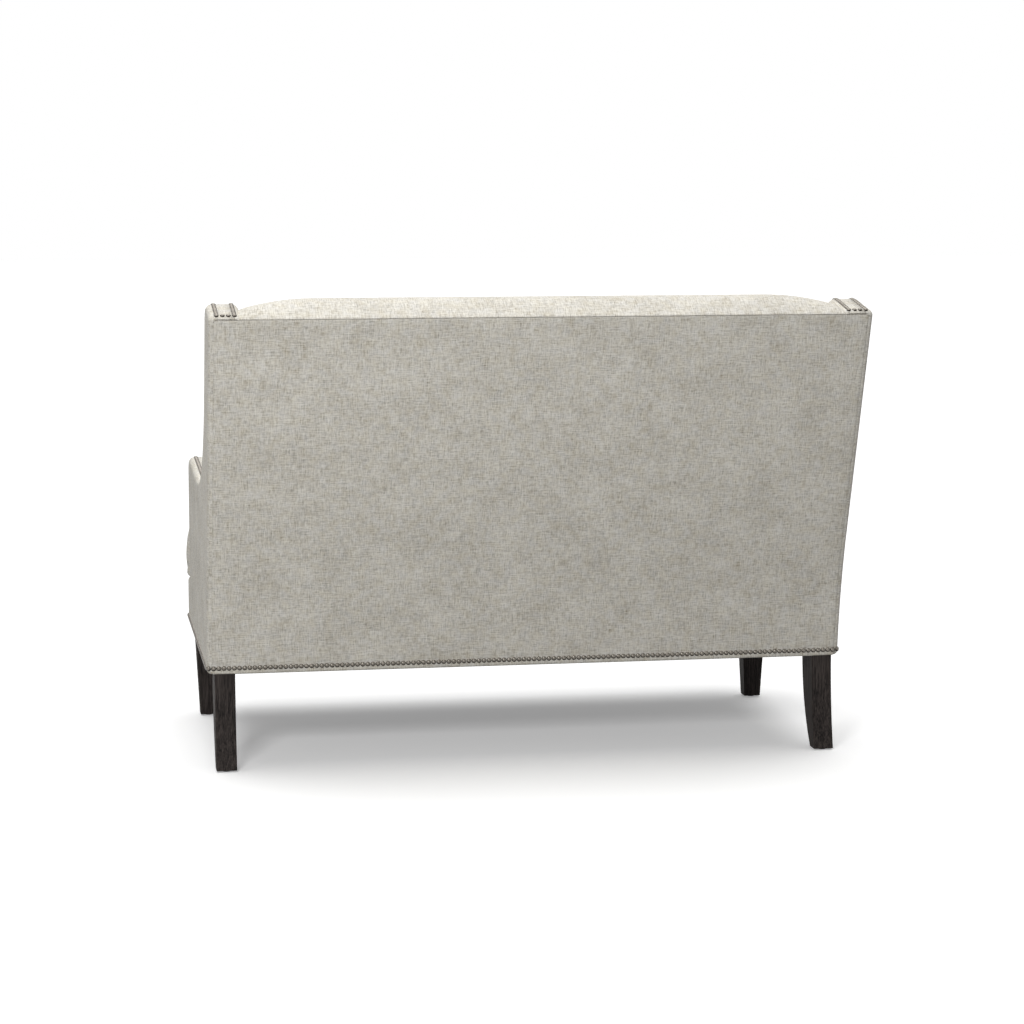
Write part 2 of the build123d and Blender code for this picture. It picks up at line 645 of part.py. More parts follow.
cushion_height = CUSHION_EDGE_H + CUSHION_CROWN_X + CUSHION_CROWN_Y
cushion_levels = [
    (cushion_low, CUSHION_BOX_BOTTOM),
    (cushion_low + CUSHION_BOX_RISE, 0.0),
    (cushion_low + CUSHION_EDGE_H - CUSHION_BOX_RISE, 0.0),
    (cushion_low + CUSHION_EDGE_H, CUSHION_BOX_TOP),
    (cushion_low + cushion_height + FIT, CUSHION_BOX_TOP + CUSHION_CROWN_IN),
]
boxing = loft([Pos(0, 0, z) * cushion_plan(inset) for z, inset in cushion_levels], ruled=True)

# The crown is a shallow barrel: an arc from front to rear, swung about a far axis below the seat.
crest = cushion_low + cushion_height
cushion_mid = (cushion_front + cushion_rear) / 2
cushion_half = (cushion_rear - cushion_front) / 2
arch_half = cushion_half + CUSHION_CORNER
arch_end = crest - CUSHION_CROWN_Y * (arch_half / cushion_half) ** 2
arch_front = (cushion_mid - arch_half, arch_end)
arch_rear = (cushion_mid + arch_half, arch_end)
arch_low = cushion_low - CUSHION_EDGE_H
arch = make_face(
    [
        ThreePointArc(arch_front, (cushion_mid, crest), arch_rear),
        Polyline(arch_rear, (arch_rear[0], arch_low), (arch_front[0], arch_low), arch_front),
    ]
)
swing_radius = cushion_ear**2 / (2 * CUSHION_CROWN_X)
swing = math.degrees((cushion_ear + CUSHION_CORNER) / swing_radius)
swing_axis = Axis((0, 0, crest - swing_radius), (0, 1, 0))
arch = (Plane.YZ * arch).rotate(swing_axis, -swing)
cushion = boxing & revolve(arch, axis=swing_axis, revolution_arc=2 * swing)


def foam_block(room):
    """Flat T of foam inside the cover and its wrap, corners clipped, grown by some room."""
    inset = CUSHION_BOX_TOP + CUSHION_COVER_T - room
    ear = cushion_ear - inset
    neck = cushion_neck - inset
    front = cushion_front + CUSHION_DRAW_IN + inset
    step = cushion_step - inset
    rear = cushion_rear - CUSHION_DRAW_IN - inset
    right = [
        (ear - FOAM_CLIP, front),
        (ear, front + FOAM_CLIP),
        (ear, step - FOAM_CLIP),
        (ear - FOAM_CLIP, step),
        (neck, step),
        (neck, rear - FOAM_CLIP),
        (neck - FOAM_CLIP, rear),
    ]
    left = [(-x, y) for x, y in reversed(right)]
    slab_h = CUSHION_EDGE_H - 2 * CUSHION_COVER_T
    low = cushion_low + CUSHION_COVER_T - room
    return extrude(Pos(0, 0, low) * quad(*right, *left), amount=slab_h + 2 * room, dir=(0, 0, 1))


NODES["seat_cushion_core"] = foam_block(0.0)
NODES["seat_cushion_cover"] = cushion - foam_block(FIT)

# Nailhead trim: a strip along the base on all four sides, two rows along each border
nail_low = Z_BASE + NAIL_BASE_LIFT - NAIL_W / 2
nail_high = nail_low + NAIL_W
nail_level = level_strip(nail_low, nail_high)

rear_nails = slab(rear_band(-NAIL_H, 0.0) & nail_level, -X_OUT, X_OUT)
rear_edges = rear_nails.edges().filter_by(Axis.X).group_by(Axis.Y)
rear_nails = chamfer(rear_edges[-1] + rear_edges[-2], NAIL_BEVEL)
NODES["nail_trim_base_rear"] = rear_nails

front_nails = block(-X_OUT, X_OUT, Y_FRONT - NAIL_H, Y_FRONT, nail_low, nail_high)
front_nails = chamfer(front_nails.edges().filter_by(Axis.X).group_by(Axis.Y)[0], NAIL_BEVEL)
NODES["nail_trim_base_front"] = front_nails

side_nails = block(X_OUT, X_OUT + NAIL_H, Y_FRONT, rear_y(nail_low), nail_low, nail_high)
side_nails = chamfer(side_nails.edges().filter_by(Axis.Y).group_by(Axis.X)[-1], NAIL_BEVEL)
pair("nail_trim_base", side_nails)

row_face = edge_band(-NAIL_H, 0.0)
outer_x = X_OUT - NAIL_OUTER_IN
inner_x = X_IN + NAIL_INNER_IN
rows = []
for x in (outer_x, inner_x):
    rows.append(slab(row_face, x - NAIL_W / 2, x + NAIL_W / 2))
along = unit(A, B)
square = (along[1], -along[0])
cross_a = (A[0] + along[0] * (NAIL_CROSS_IN - NAIL_W / 2), A[1] + along[1] * (NAIL_CROSS_IN - NAIL_W / 2))
cross_b = (cross_a[0] + along[0] * NAIL_W, cross_a[1] + along[1] * NAIL_W)
cross_face = quad(
    cross_a,
    cross_b,
    (cross_b[0] + square[0] * NAIL_H, cross_b[1] + square[1] * NAIL_H),
    (cross_a[0] + square[0] * NAIL_H, cross_a[1] + square[1] * NAIL_H),
)
cross_row = slab(cross_face, inner_x + NAIL_W / 2, outer_x - NAIL_W / 2)
rows.append(cross_row)
NODES["nail_trim_border_left"] = Compound(children=rows)
NODES["nail_trim_border_right"] = Compound(children=[mirror(r, about=Plane.YZ) for r in rows])

for name, shape in NODES.items():
    export_step(shape, f"parts/{name}.step")
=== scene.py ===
import math

import bmesh
import bpy
import numpy as np
from mathutils import Matrix, Vector


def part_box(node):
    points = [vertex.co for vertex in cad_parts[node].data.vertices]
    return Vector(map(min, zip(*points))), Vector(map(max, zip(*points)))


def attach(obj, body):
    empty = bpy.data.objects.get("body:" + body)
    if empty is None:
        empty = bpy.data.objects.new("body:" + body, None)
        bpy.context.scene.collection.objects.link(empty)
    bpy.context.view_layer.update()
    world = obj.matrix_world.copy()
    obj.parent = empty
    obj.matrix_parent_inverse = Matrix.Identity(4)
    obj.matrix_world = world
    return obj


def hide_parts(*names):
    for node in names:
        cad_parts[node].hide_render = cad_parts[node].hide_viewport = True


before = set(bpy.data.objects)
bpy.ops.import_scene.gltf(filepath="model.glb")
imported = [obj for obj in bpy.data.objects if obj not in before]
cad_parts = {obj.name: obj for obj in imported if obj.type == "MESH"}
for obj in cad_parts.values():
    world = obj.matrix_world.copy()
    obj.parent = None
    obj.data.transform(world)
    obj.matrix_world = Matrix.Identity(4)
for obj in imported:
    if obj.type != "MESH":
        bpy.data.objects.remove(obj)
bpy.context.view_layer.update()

BODY = "settee_body"
CUSHION = "seat_cushion"
SIDES = {"left": 1.0, "right": -1.0}

TINY = 1e-6  # lengths treated as equal
SLACK = 1e-5  # allowed when points are picked by their place
LEAST = 1e-9  # shortest length that is divided by


def low(node):
    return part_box(node)[0]


def high(node):
    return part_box(node)[1]


# Places taken from the frame, in metres. The seat faces -Y and the left side is +X.
X_OUT = high("outside_back_cover").x
X_IN = low("inside_side_pad_left").x
Y_FRONT = low("front_border_cover").y
Y_ARM = low("side_border_left").y
Y_SEAM = high("outside_back_cover").y
Z_BASE = low("front_border_cover").z
Z_DECK = high("front_border_cover").z

# Outline of a side: raked back, wing, sweep and arm
BACK_HEIGHT = 0.751
BEND_HEIGHT = 0.147
LOWER_LEAN = math.radians(5.7)
UPPER_LEAN = math.radians(18.5)
WING_DEPTH = 0.145
WING_RISE = math.radians(13.6)
ARM_HEIGHT = 0.396
ARM_SLOPE = math.radians(3.2)
BEND_RADIUS = 1.2
WING_RADIUS = 0.045
SWEEP_RADIUS = 0.32
ARM_RADIUS = 0.04
SHOULDER_RISE = 0.007  # rolled edge of the wing above the top seam
HEM_RADIUS = 0.0055
HEM_DROP = 0.0012  # panels turned under below the frame
SEAM_RADIUS = 0.003
ARC_STEP = 0.018
ARC_MIN = 7

# Covers
EDGE_ROUND = 0.0095
EDGE_STEPS = 5
EDGE_FALL = 0.003  # drop of the cloth outside the nail rows
INNER_FALL = 0.007  # drop of the cloth inside them
EDGE_FALL_REACH = 0.02
CORNER_ROUND = 0.01
UNDERLAP = 0.0006  # covers turned under the lower edge
PANEL_STAND = 0.0022  # back and front panels over the sides they are sewn to
PANEL_EDGE = 0.0011
CLOTH_T = 0.0018
TUCK = 0.03
GRID = 0.024
SEAM_COLUMNS = (0.012, 0.006, 0.003, 0.0015, 0.0005, 0.0)  # last divisions before a side seam
SEAM_COLUMN_REACH = 0.016
SEAM_GAP = 0.0009  # groove along the top of the outside back
SEAM_STEP = 0.0006
SEAM_SHADE = (-0.0018, 0.0007)  # ends of the painted shade, down and up from the seam at the wing
PANEL_LIP = 0.002
FOLD_DEPTH = 0.005
FOLD_DROP = 0.0015
ROLL_REACH = 0.012
PAINTED_SHADE_START = 0.0003  # depth in a seam at which the painted shade starts
PAINTED_SHADE_END = 0.0018
# painted shade along the side edges of the panels, and how far it reaches
SIDE_SHADE = 0.3
SIDE_SHADE_REACH = 0.0015
FLAT_FACING = 0.6  # share of a normal along an axis above which a face is cut flat

# Places on the bolt that the covers are cut from, in metres
BOLT_BACK = 0.0
BOLT_FRONT = 2.1
BOLT_INSIDE_BACK = 3.7
BOLT_CUSHION = 5.3
BOLT_DECK = 7.9
BOLT_SIDE = 1.3
BOLT_STEP = 0.37  # from one cover of a side to the next

# Linen
# Cells of noise to the metre across and along each set of threads, and a shift
THREADS = ((430.0, 26.0, 0.0), (400.0, 95.0, 11.0), (900.0, 60.0, 23.0))
SLUB_RANGE = (2.52, 3.74)
SLUB_CURVE = 1.3
DRIFT = 0.16

# Nails
NAIL_PITCH = 0.0108
NAIL_RADIUS = 0.0054
NAIL_DOME = 0.0036
NAIL_LIFT = 0.012
NAIL_OUTER_X = X_OUT - 0.016
NAIL_INNER_X = X_IN + 0.0155
NAIL_CROSS = 0.0115
NAIL_SKIRT = 0.0012
# Darkening of the nail heads: round the rim partly tarnish and partly painted shade, on the lower side
# painted shade
RIM_TARNISH_AND_SHADE = 0.7
UNDERSIDE_SHADE = 0.6
RIM_START = 0.2  # darkening, from tarnish and painted shade, at which the polish starts to go
RIM_END = 0.65
NAIL_TILT = math.radians(4.0)
NAIL_TILT_TURN = 2.3  # radians from one nail to the next
NAIL_SPIN = 2.4
NAIL_DIP = 0.0012
NAIL_DIP_WIDTH = 0.006

# Fullness of the pads
BACK_FULLNESS = 0.002
FRONT_FULLNESS = 0.003
BACK_PRESSURE = 4.0
BACK_CAP = 0.008
BACK_FILL_REACH = 0.05
SIDE_FULLNESS = 0.004
SIDE_FULLNESS_REACH = 0.07
FILL_FRAMES = 20
HELD_LEAST = 0.01
CUSHION_VOXEL = 0.01
CUSHION_RELAX = 2
CUSHION_SWELL = 0.007
CUSHION_PRESSURE = 4.0
CUSHION_CAP = 0.022
CUSHION_SIDE_GAP = 0.002
CUSHION_EAR_GAP = 0.006
CUSHION_EAR_FILL = 0.013
CUSHION_SAG = 0.05  # keeps an ear full down to its foot
CUSHION_FLAT = 0.004  # lowest part, held on the deck
CUSHION_CLEAR = 0.001
CUSHION_CORNER = 0.036
CUSHION_NECK_CORNER = 0.01
CUSHION_DRAW_IN = 0.005
CUSHION_DRAW_ROUND = 0.4
CUSHION_SEAMS = ((0.0, 0.005), (0.146, 0.008))  # height above the deck, and how far drawn in
SEAM_DEPTH = 0.003
SEAM_WIDTH = 0.005
SEAM_HOLD = 1.6
SEAM_HOLD_REACH = 0.012
DECK_VOXEL = 0.006
DECK_RELAX = 4
DUST_SAG = 0.004
DUST_GRID = 0.05
DUST_FLAT = 0.01  # radians
DUST_UNDERSIDE = -0.5

# Section of the inside back
CROWN_RISE = 0.038  # above the top seam
CROWN_SETBACK = 0.043
CROWN_REAR_ROUND = 0.06
CROWN_FRONT_ROUND = 0.045
PAD_DEPTH = 0.132
PAD_MID_HEIGHT = 0.556
PAD_MID_ROUND = 0.8
LUMBAR_HEIGHT = 0.289
LUMBAR_ROUND = 0.25
END_ROLL = 0.15  # length over which the crown rolls down to each wing
END_DROP = 0.0235
END_TUCK = 0.007
LIP_ROUND = 0.0015
LIP_ROWS = 5
# painted shade on the first rows of the lip, in the seam, and the rows over which it fades
LIP_SHADE_END = 3
LIP_SHADE_FADE = 2
SIDE_ROLL = 0.016
ROLL_START = 9  # row of the section from which its ends roll in further
ROLL_ROWS = 8
CROWN_ROLL = 0.5  # share of the roll on the crown
CROWN_ROLL_ROWS = 2
PAD_ROWS = 50

# Camera of the photograph
CAMERA_PLACE = (1.0101, 5.8738, 1.2620)
CAMERA_YAW = math.radians(9.822)
CAMERA_PITCH = math.radians(7.2875)
CAMERA_LENS = 95.82
CAMERA_SENSOR = 36.0

# Studio
FLOOR_HALF = 30.0
FLOOR_TONE = 0.83  # as it is seen
FLOOR_BOUNCE = 0.3  # as it lights the settee
FLOOR_LIFT = 0.28
AMBIENT = 0.2
OVERHEAD_STRENGTH = 2.74
OVERHEAD_SPREAD = math.radians(60.0)
OVERHEAD_TILT = math.radians(12.0)
SOFTBOX_PLACE = (1.7, 3.7, 2.2)
SOFTBOX_AIM = (0.0, 0.35, 0.65)
SOFTBOX_SIZE = (0.9, 0.7)
SOFTBOX_POWER = 78.0


def clamp(value):
    """A number or an array, kept from 0 to 1."""
    return np.clip(value, 0.0, 1.0)


# Outlines in the side view, as (y, z)
def side_corners():
    """Sharp corners of a side, anticlockwise from the lower rear."""
    z_seam = Z_BASE + BACK_HEIGHT
    upper = BACK_HEIGHT - BEND_HEIGHT
    seam = Vector((Y_SEAM, z_seam))
    bend = seam - Vector((upper * math.tan(UPPER_LEAN), upper))
    heel = bend - Vector((BEND_HEIGHT * math.tan(LOWER_LEAN), BEND_HEIGHT))
    run = WING_DEPTH / (1 + math.tan(WING_RISE) * math.tan(UPPER_LEAN))
    wing = seam + Vector((-run, run * math.tan(WING_RISE)))
    arm = Vector((Y_ARM, Z_BASE + ARM_HEIGHT))
    fall = wing.y - arm.y + (wing.x - arm.x) * math.tan(ARM_SLOPE)
    fall /= math.cos(UPPER_LEAN) + math.sin(UPPER_LEAN) * math.tan(ARM_SLOPE)
    sweep = wing - Vector((math.sin(UPPER_LEAN), math.cos(UPPER_LEAN))) * fall
    ledge = Vector((Y_ARM, Z_DECK))
    nose = Vector((Y_FRONT, Z_DECK))
    toe = Vector((Y_FRONT, Z_BASE))
    return [heel, bend, seam, wing, sweep, arm, ledge, nose, toe]


def shifted(corners, amounts):
    """Corners once each edge of the outline has moved inwards by its amount."""
    moved = []
    for i, corner in enumerate(corners):
        before = (corner - corners[i - 1]).normalized()
        after = (corners[(i + 1) % len(corners)] - corner).normalized()
        n0 = Vector((-before.y, before.x))
        n1 = Vector((-after.y, after.x))
        det = n0.x * n1.y - n0.y * n1.x
        a = amounts[i - 1]
        b = amounts[i]
        moved.append(corner + Vector((a * n1.y - b * n0.y, b * n0.x - a * n1.x)) / det)
    return moved


def corner_arc(before, corner, after, radius):
    """Points of the arc that rounds one corner."""
    back = (before - corner).normalized()
    ahead = (after - corner).normalized()
    half = back.angle(ahead) / 2
    turn = math.pi - 2 * half
    centre = corner + (back + ahead).normalized() * radius / math.sin(half)
    start = corner + back * radius / math.tan(half) - centre
    side = 1.0 if back.x * ahead.y - back.y * ahead.x < 0 else -1.0
    count = max(ARC_MIN, round(turn * radius / ARC_STEP))
    return [centre + Matrix.Rotation(side * turn * k / count, 2) @ start for k in range(count + 1)]


def rounded(corners, radii, closed=True):
    """Outline through corners that are each rounded by a radius."""
    points = []
    last = len(corners) - 1
    for i, corner in enumerate(corners):
        if not closed and i in (0, last) or not radii[i]:
            points.append(corner.copy())
        else:
            points += corner_arc(corners[i - 1], corner, corners[(i + 1) % len(corners)], radii[i])
    return points


HEEL, BEND, SEAM, WING, SWEEP, ARM, LEDGE, NOSE, TOE = side_corners()
SEAM_UP = Vector((math.sin(UPPER_LEAN), math.cos(UPPER_LEAN)))
SEAM_IN = Vector((-math.cos(UPPER_LEAN), math.sin(UPPER_LEAN)))


def at_seam(up, inward):
    """Point measured from the top seam, up the outside back and square into it."""
    return SEAM + SEAM_UP * up + SEAM_IN * inward


SHOULDER = at_seam(SHOULDER_RISE, 0.0)
SIDE = [HEEL, BEND, SHOULDER, WING, SWEEP, ARM, LEDGE, NOSE, TOE]


def rear_path():
    """The outside back from under the base up to its fold below the top seam."""
    hem = HEEL - Vector((0.0, HEM_DROP))
    under = hem - Vector((TUCK, 0.0))
    lip = at_seam(-SEAM_GAP, 0.0)
    fold = at_seam(-SEAM_GAP - FOLD_DROP, FOLD_DEPTH)
    corners = [under, hem, BEND, lip, fold]
    return rounded(corners, [0.0, HEM_RADIUS, BEND_RADIUS, PANEL_LIP, 0.0], closed=False)


def border_path():
    """Edge of wing and arm that the border and its nails follow."""
    corners = [SHOULDER, WING, SWEEP, ARM, LEDGE]
    return rounded(corners, [0.0, WING_RADIUS, SWEEP_RADIUS, ARM_RADIUS, 0.0], closed=False)


def nearest(path, points):
    """Distance to a path, and length along it, for many points of a plane."""
    line = np.array([tuple(p) for p in path])
    step = line[1:] - line[:-1]
    size = np.linalg.norm(step, axis=1)
    start = np.concatenate([[0.0], np.cumsum(size)[:-1]])
    far = np.full(len(points), np.inf)
    along = np.zeros(len(points))
    for p, d, s, a in zip(line[:-1], step, size, start):
        if s < LEAST:
            continue
        t = clamp((points - p) @ d / s**2)
        gap = np.linalg.norm(points - p - t[:, None] * d, axis=1)
        closer = gap < far
        far[closer] = gap[closer]
        along[closer] = a + t[closer] * s
    return far, along


def spaced(path, pitch, start, end):
    """Evenly spaced places along a path, with the direction there."""
    line = [Vector(p) for p in path]
    total = sum((b - a).length for a, b in zip(line, line[1:]))
    count = max(1, round((total - start - end) / pitch))
    step = (total - start - end) / count
    places = []
    gone = 0.0
    want = start
    for a, b in zip(line, line[1:]):
        size = (b - a).length
        while want <= gone + size + LEAST and len(places) <= count:
            places.append((a.lerp(b, (want - gone) / size), (b - a).normalized()))
            want += step
        gone += size
    return places


def divided(path, count):
    """Points that divide a path into equal lengths."""
    total = sum((b - a).length for a, b in zip(path, path[1:]))
    return [place for place, run in spaced(path, total / count, 0.0, 0.0)]


# Building blocks for meshes
def vectors(items, field):
    """One vector of each vertex, normal or face, as rows."""
    rows = np.zeros(len(items) * 3, np.float32)
    items.foreach_get(field, rows)
    return rows.reshape(-1, 3).astype(float)


def coords(mesh):
    return vectors(mesh.vertices, "co")


def set_coords(mesh, co):
    mesh.vertices.foreach_set("co", co.astype(np.float32).ravel())
    mesh.update()


def normals(mesh):
    return vectors(mesh.vertex_normals, "vector")


def in_scene(name, data):
    """An object of a mesh, light or camera, put in the scene."""
    added = bpy.data.objects.new(name, data)
    bpy.context.scene.collection.objects.link(added)
    return added


def new_piece(name, bm):
    """Turn a bmesh into a smooth-shaded object in the scene."""
    mesh = bpy.data.meshes.new(name)
    bm.to_mesh(mesh)
    bm.free()
    mesh.shade_smooth()
    return in_scene(name, mesh)


def copy_of(*nodes):
    """One bmesh of several CAD nodes, with their loose triangles merged."""
    bm = bmesh.new()
    for node in nodes:
        bm.from_mesh(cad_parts[node].data)
    bmesh.ops.remove_doubles(bm, verts=bm.verts, dist=TINY)
    return bm


def cut(bm, place, normal, clear=False):
    """Cut a mesh by a plane, and clear what lies beyond it if asked."""
    geom = bm.verts[:] + bm.edges[:] + bm.faces[:]
    bmesh.ops.bisect_plane(bm, geom=geom, dist=TINY, plane_co=place, plane_no=normal, clear_outer=clear)


def cut_grid(bm, axis, spacing, lo, hi):
    """Cut a mesh by evenly spaced planes across one axis."""
    normal = Vector()
    normal[axis] = 1.0
    count = round((hi - lo) / spacing)
    for k in range(1, count):
        cut(bm, normal * (lo + (hi - lo) * k / count), normal)


def settle(piece):
    """Make the modifiers of a piece part of its mesh."""
    depsgraph = bpy.context.evaluated_depsgraph_get()
    mesh = bpy.data.meshes.new_from_object(piece.evaluated_get(depsgraph))
    piece.modifiers.clear()
    old = piece.data
    piece.data = mesh
    bpy.data.meshes.remove(old)
    mesh.name = piece.name
    mesh.shade_smooth()


def thicken(piece):
    """Give an open cover its cloth thickness, inwards."""
    wall = piece.modifiers.new("cloth_thickness", "SOLIDIFY")
    wall.thickness = CLOTH_T
    wall.offset = -1.0
    wall.use_rim = True


def remesh(piece, voxel):
    modifier = piece.modifiers.new("voxels", "REMESH")
    modifier.mode = "VOXEL"
    modifier.voxel_size = voxel
    settle(piece)


def relax(piece, rounds):
    smooth = piece.modifiers.new("relax", "SMOOTH")
    smooth.factor = 0.5
    smooth.iterations = rounds
    settle(piece)


def remember(piece, name, values):
    """Keep a number for each point of a piece, through later changes of its mesh."""
    layer = piece.data.attributes.new(name, "FLOAT", "POINT")
    layer.data.foreach_set("value", values.astype(np.float32))


def recall(piece, name):
    mesh = piece.data
    values = np.zeros(len(mesh.vertices), np.float32)
    mesh.attributes[name].data.foreach_get("value", values)
    return values.astype(float)


def shrink(piece, depths):
    mesh = piece.data
    set_coords(mesh, coords(mesh) - normals(mesh) * depths[:, None])


def subdivide(piece):
    surface = piece.modifiers.new("smooth_surface", "SUBSURF")
    surface.levels = 1
    settle(piece)


def swell(piece, pressure, cap, held):
    """Fill a pad by a cloth simulation, with held points fixed and every move capped."""
    group = piece.vertex_groups.new(name="held")
    for index, weight in enumerate(held):
        if weight > HELD_LEAST:
            group.add([index], float(weight), "REPLACE")
    rest = coords(piece.data)
    cloth = piece.modifiers.new("fill", "CLOTH")
    fabric = cloth.settings
    fabric.quality = 5
    fabric.mass = 0.3
    fabric.tension_stiffness = 25
    fabric.compression_stiffness = 25
    fabric.shear_stiffness = 10
    fabric.bending_stiffness = 2
    fabric.use_pressure = True
    fabric.uniform_pressure_force = pressure
    fabric.vertex_group_mass = group.name
    fabric.effector_weights.gravity = 0.0
    cloth.point_cache.frame_start = 1
    cloth.point_cache.frame_end = FILL_FRAMES
    scene = bpy.context.scene
    for step in range(1, FILL_FRAMES + 1):
        scene.frame_set(step)
    settle(piece)
    scene.frame_set(1)
    moved = coords(piece.data) - rest
    size = np.linalg.norm(moved, axis=1)
    scale = np.minimum(1.0, cap / np.maximum(size, LEAST))
    set_coords(piece.data, rest + moved * scale[:, None])
    piece.vertex_groups.clear()


# Weave directions, kept in a UV map in metres
def weave(piece, flat, shift):
    """Lay the cloth out: flat(points, normals) gives a place on the bolt for each corner."""
    mesh = piece.data
    layer = mesh.uv_layers.new(name="weave")
    corner_vertex = np.zeros(len(mesh.loops), np.int32)
    mesh.loops.foreach_get("vertex_index", corner_vertex)
    corner_count = np.zeros(len(mesh.polygons), np.int32)
    mesh.polygons.foreach_get("loop_total", corner_count)
    facing = np.repeat(vectors(mesh.polygons, "normal"), corner_count, axis=0)
    uv = flat(coords(mesh)[corner_vertex], facing) + shift
    layer.data.foreach_set("uv", uv.astype(np.float32).ravel())


def along_section(path):
    """Cloth that runs up a section: across is X, and up is the length along the path."""

    def flat(points, facing):
        along = nearest(path, points[:, 1:])[1]
        return np.stack([points[:, 0], along], axis=1)

    return flat


def side_cloth(path):
    """Side panels are cut flat, and the border strip follows the edge."""

    def flat(points, facing):
        along = nearest(path, points[:, 1:])[1]
        strip = np.stack([points[:, 0], along], axis=1)
        panel = points[:, 1:]
        return np.where(np.abs(facing[:, :1]) > FLAT_FACING, panel, strip)

    return flat


def boxed_cloth(path):
    """Top and bottom panels are cut flat, and the boxing runs round the plan."""

    def flat(points, facing):
        along = nearest(path, points[:, :2])[1]
        boxing = np.stack([along, points[:, 2]], axis=1)
        panel = points[:, :2]
        return np.where(np.abs(facing[:, 2:]) > FLAT_FACING, panel, boxing)

    return flat


# Finishes
def tone(r, g, b):
    """A colour given as it looks on a screen, made linear."""
    return [*(((c / 255 + 0.055) / 1.055) ** 2.4 for c in (r, g, b)), 1.0]


def grey(level):
    return [level, level, level, 1.0]


class Nodes:
    """A node tree under construction, with short calls for its nodes."""

    def __init__(self, tree):
        self.tree = tree

    def put(self, value, socket):
        if isinstance(value, bpy.types.NodeSocket):
            self.tree.links.new(value, socket)
        else:
            socket.default_value = value

    def fill(self, node, inputs):
        """Set or link inputs of a node, by their names or numbers."""
        for key, value in inputs.items():
            self.put(value, node.inputs[key])

    def add(self, kind, inputs, **settings):
        """A new shader node of a kind, with its settings and inputs."""
        made = self.tree.nodes.new(f"ShaderNode{kind}")
        for key, value in settings.items():
            setattr(made, key, value)
        self.fill(made, inputs)
        return made

    def math(self, operation, a, b):
        return self.add("Math", {0: a, 1: b}, operation=operation).outputs[0]

    def seen(self):
        """1 for the rays that show a surface, 0 for those that carry its light to others."""
        rays = self.add("LightPath", {}).outputs
        direct = self.math("MAXIMUM", rays["Is Camera Ray"], rays["Is Glossy Ray"])
        return self.math("MAXIMUM", direct, rays["Is Transmission Ray"])


class Finish(Nodes):
    """A material under construction, its patterns placed on the object or by a UV map."""

    def __init__(self, name, roughness, metallic=0.0, specular=0.5, uv_map=None):
        self.material = bpy.data.materials.new(name)
        self.material.use_nodes = True
        super().__init__(self.material.node_tree)
        self.shader = self.tree.nodes["Principled BSDF"]
        self.rough(roughness)
        self.fill(self.shader, {"Metallic": metallic, "Specular IOR Level": specular})
        if uv_map:
            self.place = self.add("UVMap", {}, uv_map=uv_map).outputs["UV"]
        else:
            self.place = self.add("TexCoord", {}).outputs["Object"]

    def colour(self, value):
        self.put(value, self.shader.inputs["Base Color"])

    def rough(self, value):
        self.put(value, self.shader.inputs["Roughness"])

    def bump(self, height, distance, strength):
        inputs = {"Height": height, "Distance": distance, "Strength": strength}
        self.fill(self.shader, {"Normal": self.add("Bump", inputs).outputs["Normal"]})

    def layer(self, name):
        return self.add("Attribute", {}, attribute_name=name).outputs["Fac"]

    def noise(self, cells, detail=2.0, roughness=0.5, distortion=0.0, offset=(0.0, 0.0, 0.0)):
        """Noise with its own number of cells to the metre along each axis."""
        mapping = self.add("Mapping", {"Vector": self.place, "Scale": cells, "Location": offset})
        inputs = {"Vector": mapping.outputs["Vector"], "Scale": 1.0, "Detail": detail}
        inputs |= {"Roughness": roughness, "Distortion": distortion}
        return self.add("TexNoise", inputs).outputs["Fac"]

    def ranged(self, value, from_low, from_high, to_low=0.0, to_high=1.0):
        inputs = {"Value": value, "From Min": from_low, "From Max": from_high}
        inputs |= {"To Min": to_low, "To Max": to_high}
        return self.add("MapRange", inputs).outputs["Result"]

    def mix(self, share, first, second):
        made = self.add("Mix", {"Factor": share}, data_type="RGBA")
        for value, socket in zip((first, second), [i for i in made.inputs if i.type == "RGBA"]):
            self.put(value, socket)
        return [o for o in made.outputs if o.type == "RGBA"][0]


def linen():
    """Plain-woven linen: pale threads, darker slubs both ways, faint drifts of colour, and painted shade
    in the seams.
    """
    cloth = Finish("linen", roughness=0.92, specular=0.2, uv_map="weave")
    threads = []
    for across, along, shift in THREADS:
        warp = cloth.noise((across, along, 1.0), roughness=0.6, offset=(shift, 3.0, 0.0))
        weft = cloth.noise((along, across, 1.0), roughness=0.6, offset=(7.0, shift, 0.0))
        threads.append(cloth.math("ADD", warp, weft))
    long_threads, short_threads, fine_threads = threads
    drift = cloth.noise((11.0, 11.0, 1.0), detail=4.0, roughness=0.6, offset=(1.0, 4.0, 0.0))
    warmth = cloth.noise((48.0, 48.0, 1.0), detail=3.0, offset=(8.0, 2.0, 0.0))
    woven = cloth.math("ADD", long_threads, cloth.math("ADD", short_threads, fine_threads))
    slubs = cloth.math("POWER", cloth.ranged(woven, *SLUB_RANGE), SLUB_CURVE)
    shade = cloth.math("ADD", slubs, cloth.ranged(drift, 0.2, 0.8, -DRIFT, DRIFT))
    warm = cloth.ranged(warmth, 0.32, 0.68)
    pale = cloth.mix(warm, tone(236, 233, 226), tone(233, 229, 217))
    slub = cloth.mix(warm, tone(142, 138, 128), tone(141, 127, 102))
    face = cloth.mix(shade, pale, slub)
    # painted shade in the seams and along the panel edges
    cloth.colour(cloth.mix(cloth.layer("painted_shade"), face, tone(98, 92, 83)))
    cloth.fill(cloth.shader, {"Sheen Weight": 0.05, "Sheen Roughness": 0.5})
    cloth.bump(woven, 0.0004, 0.5)
    return cloth.material


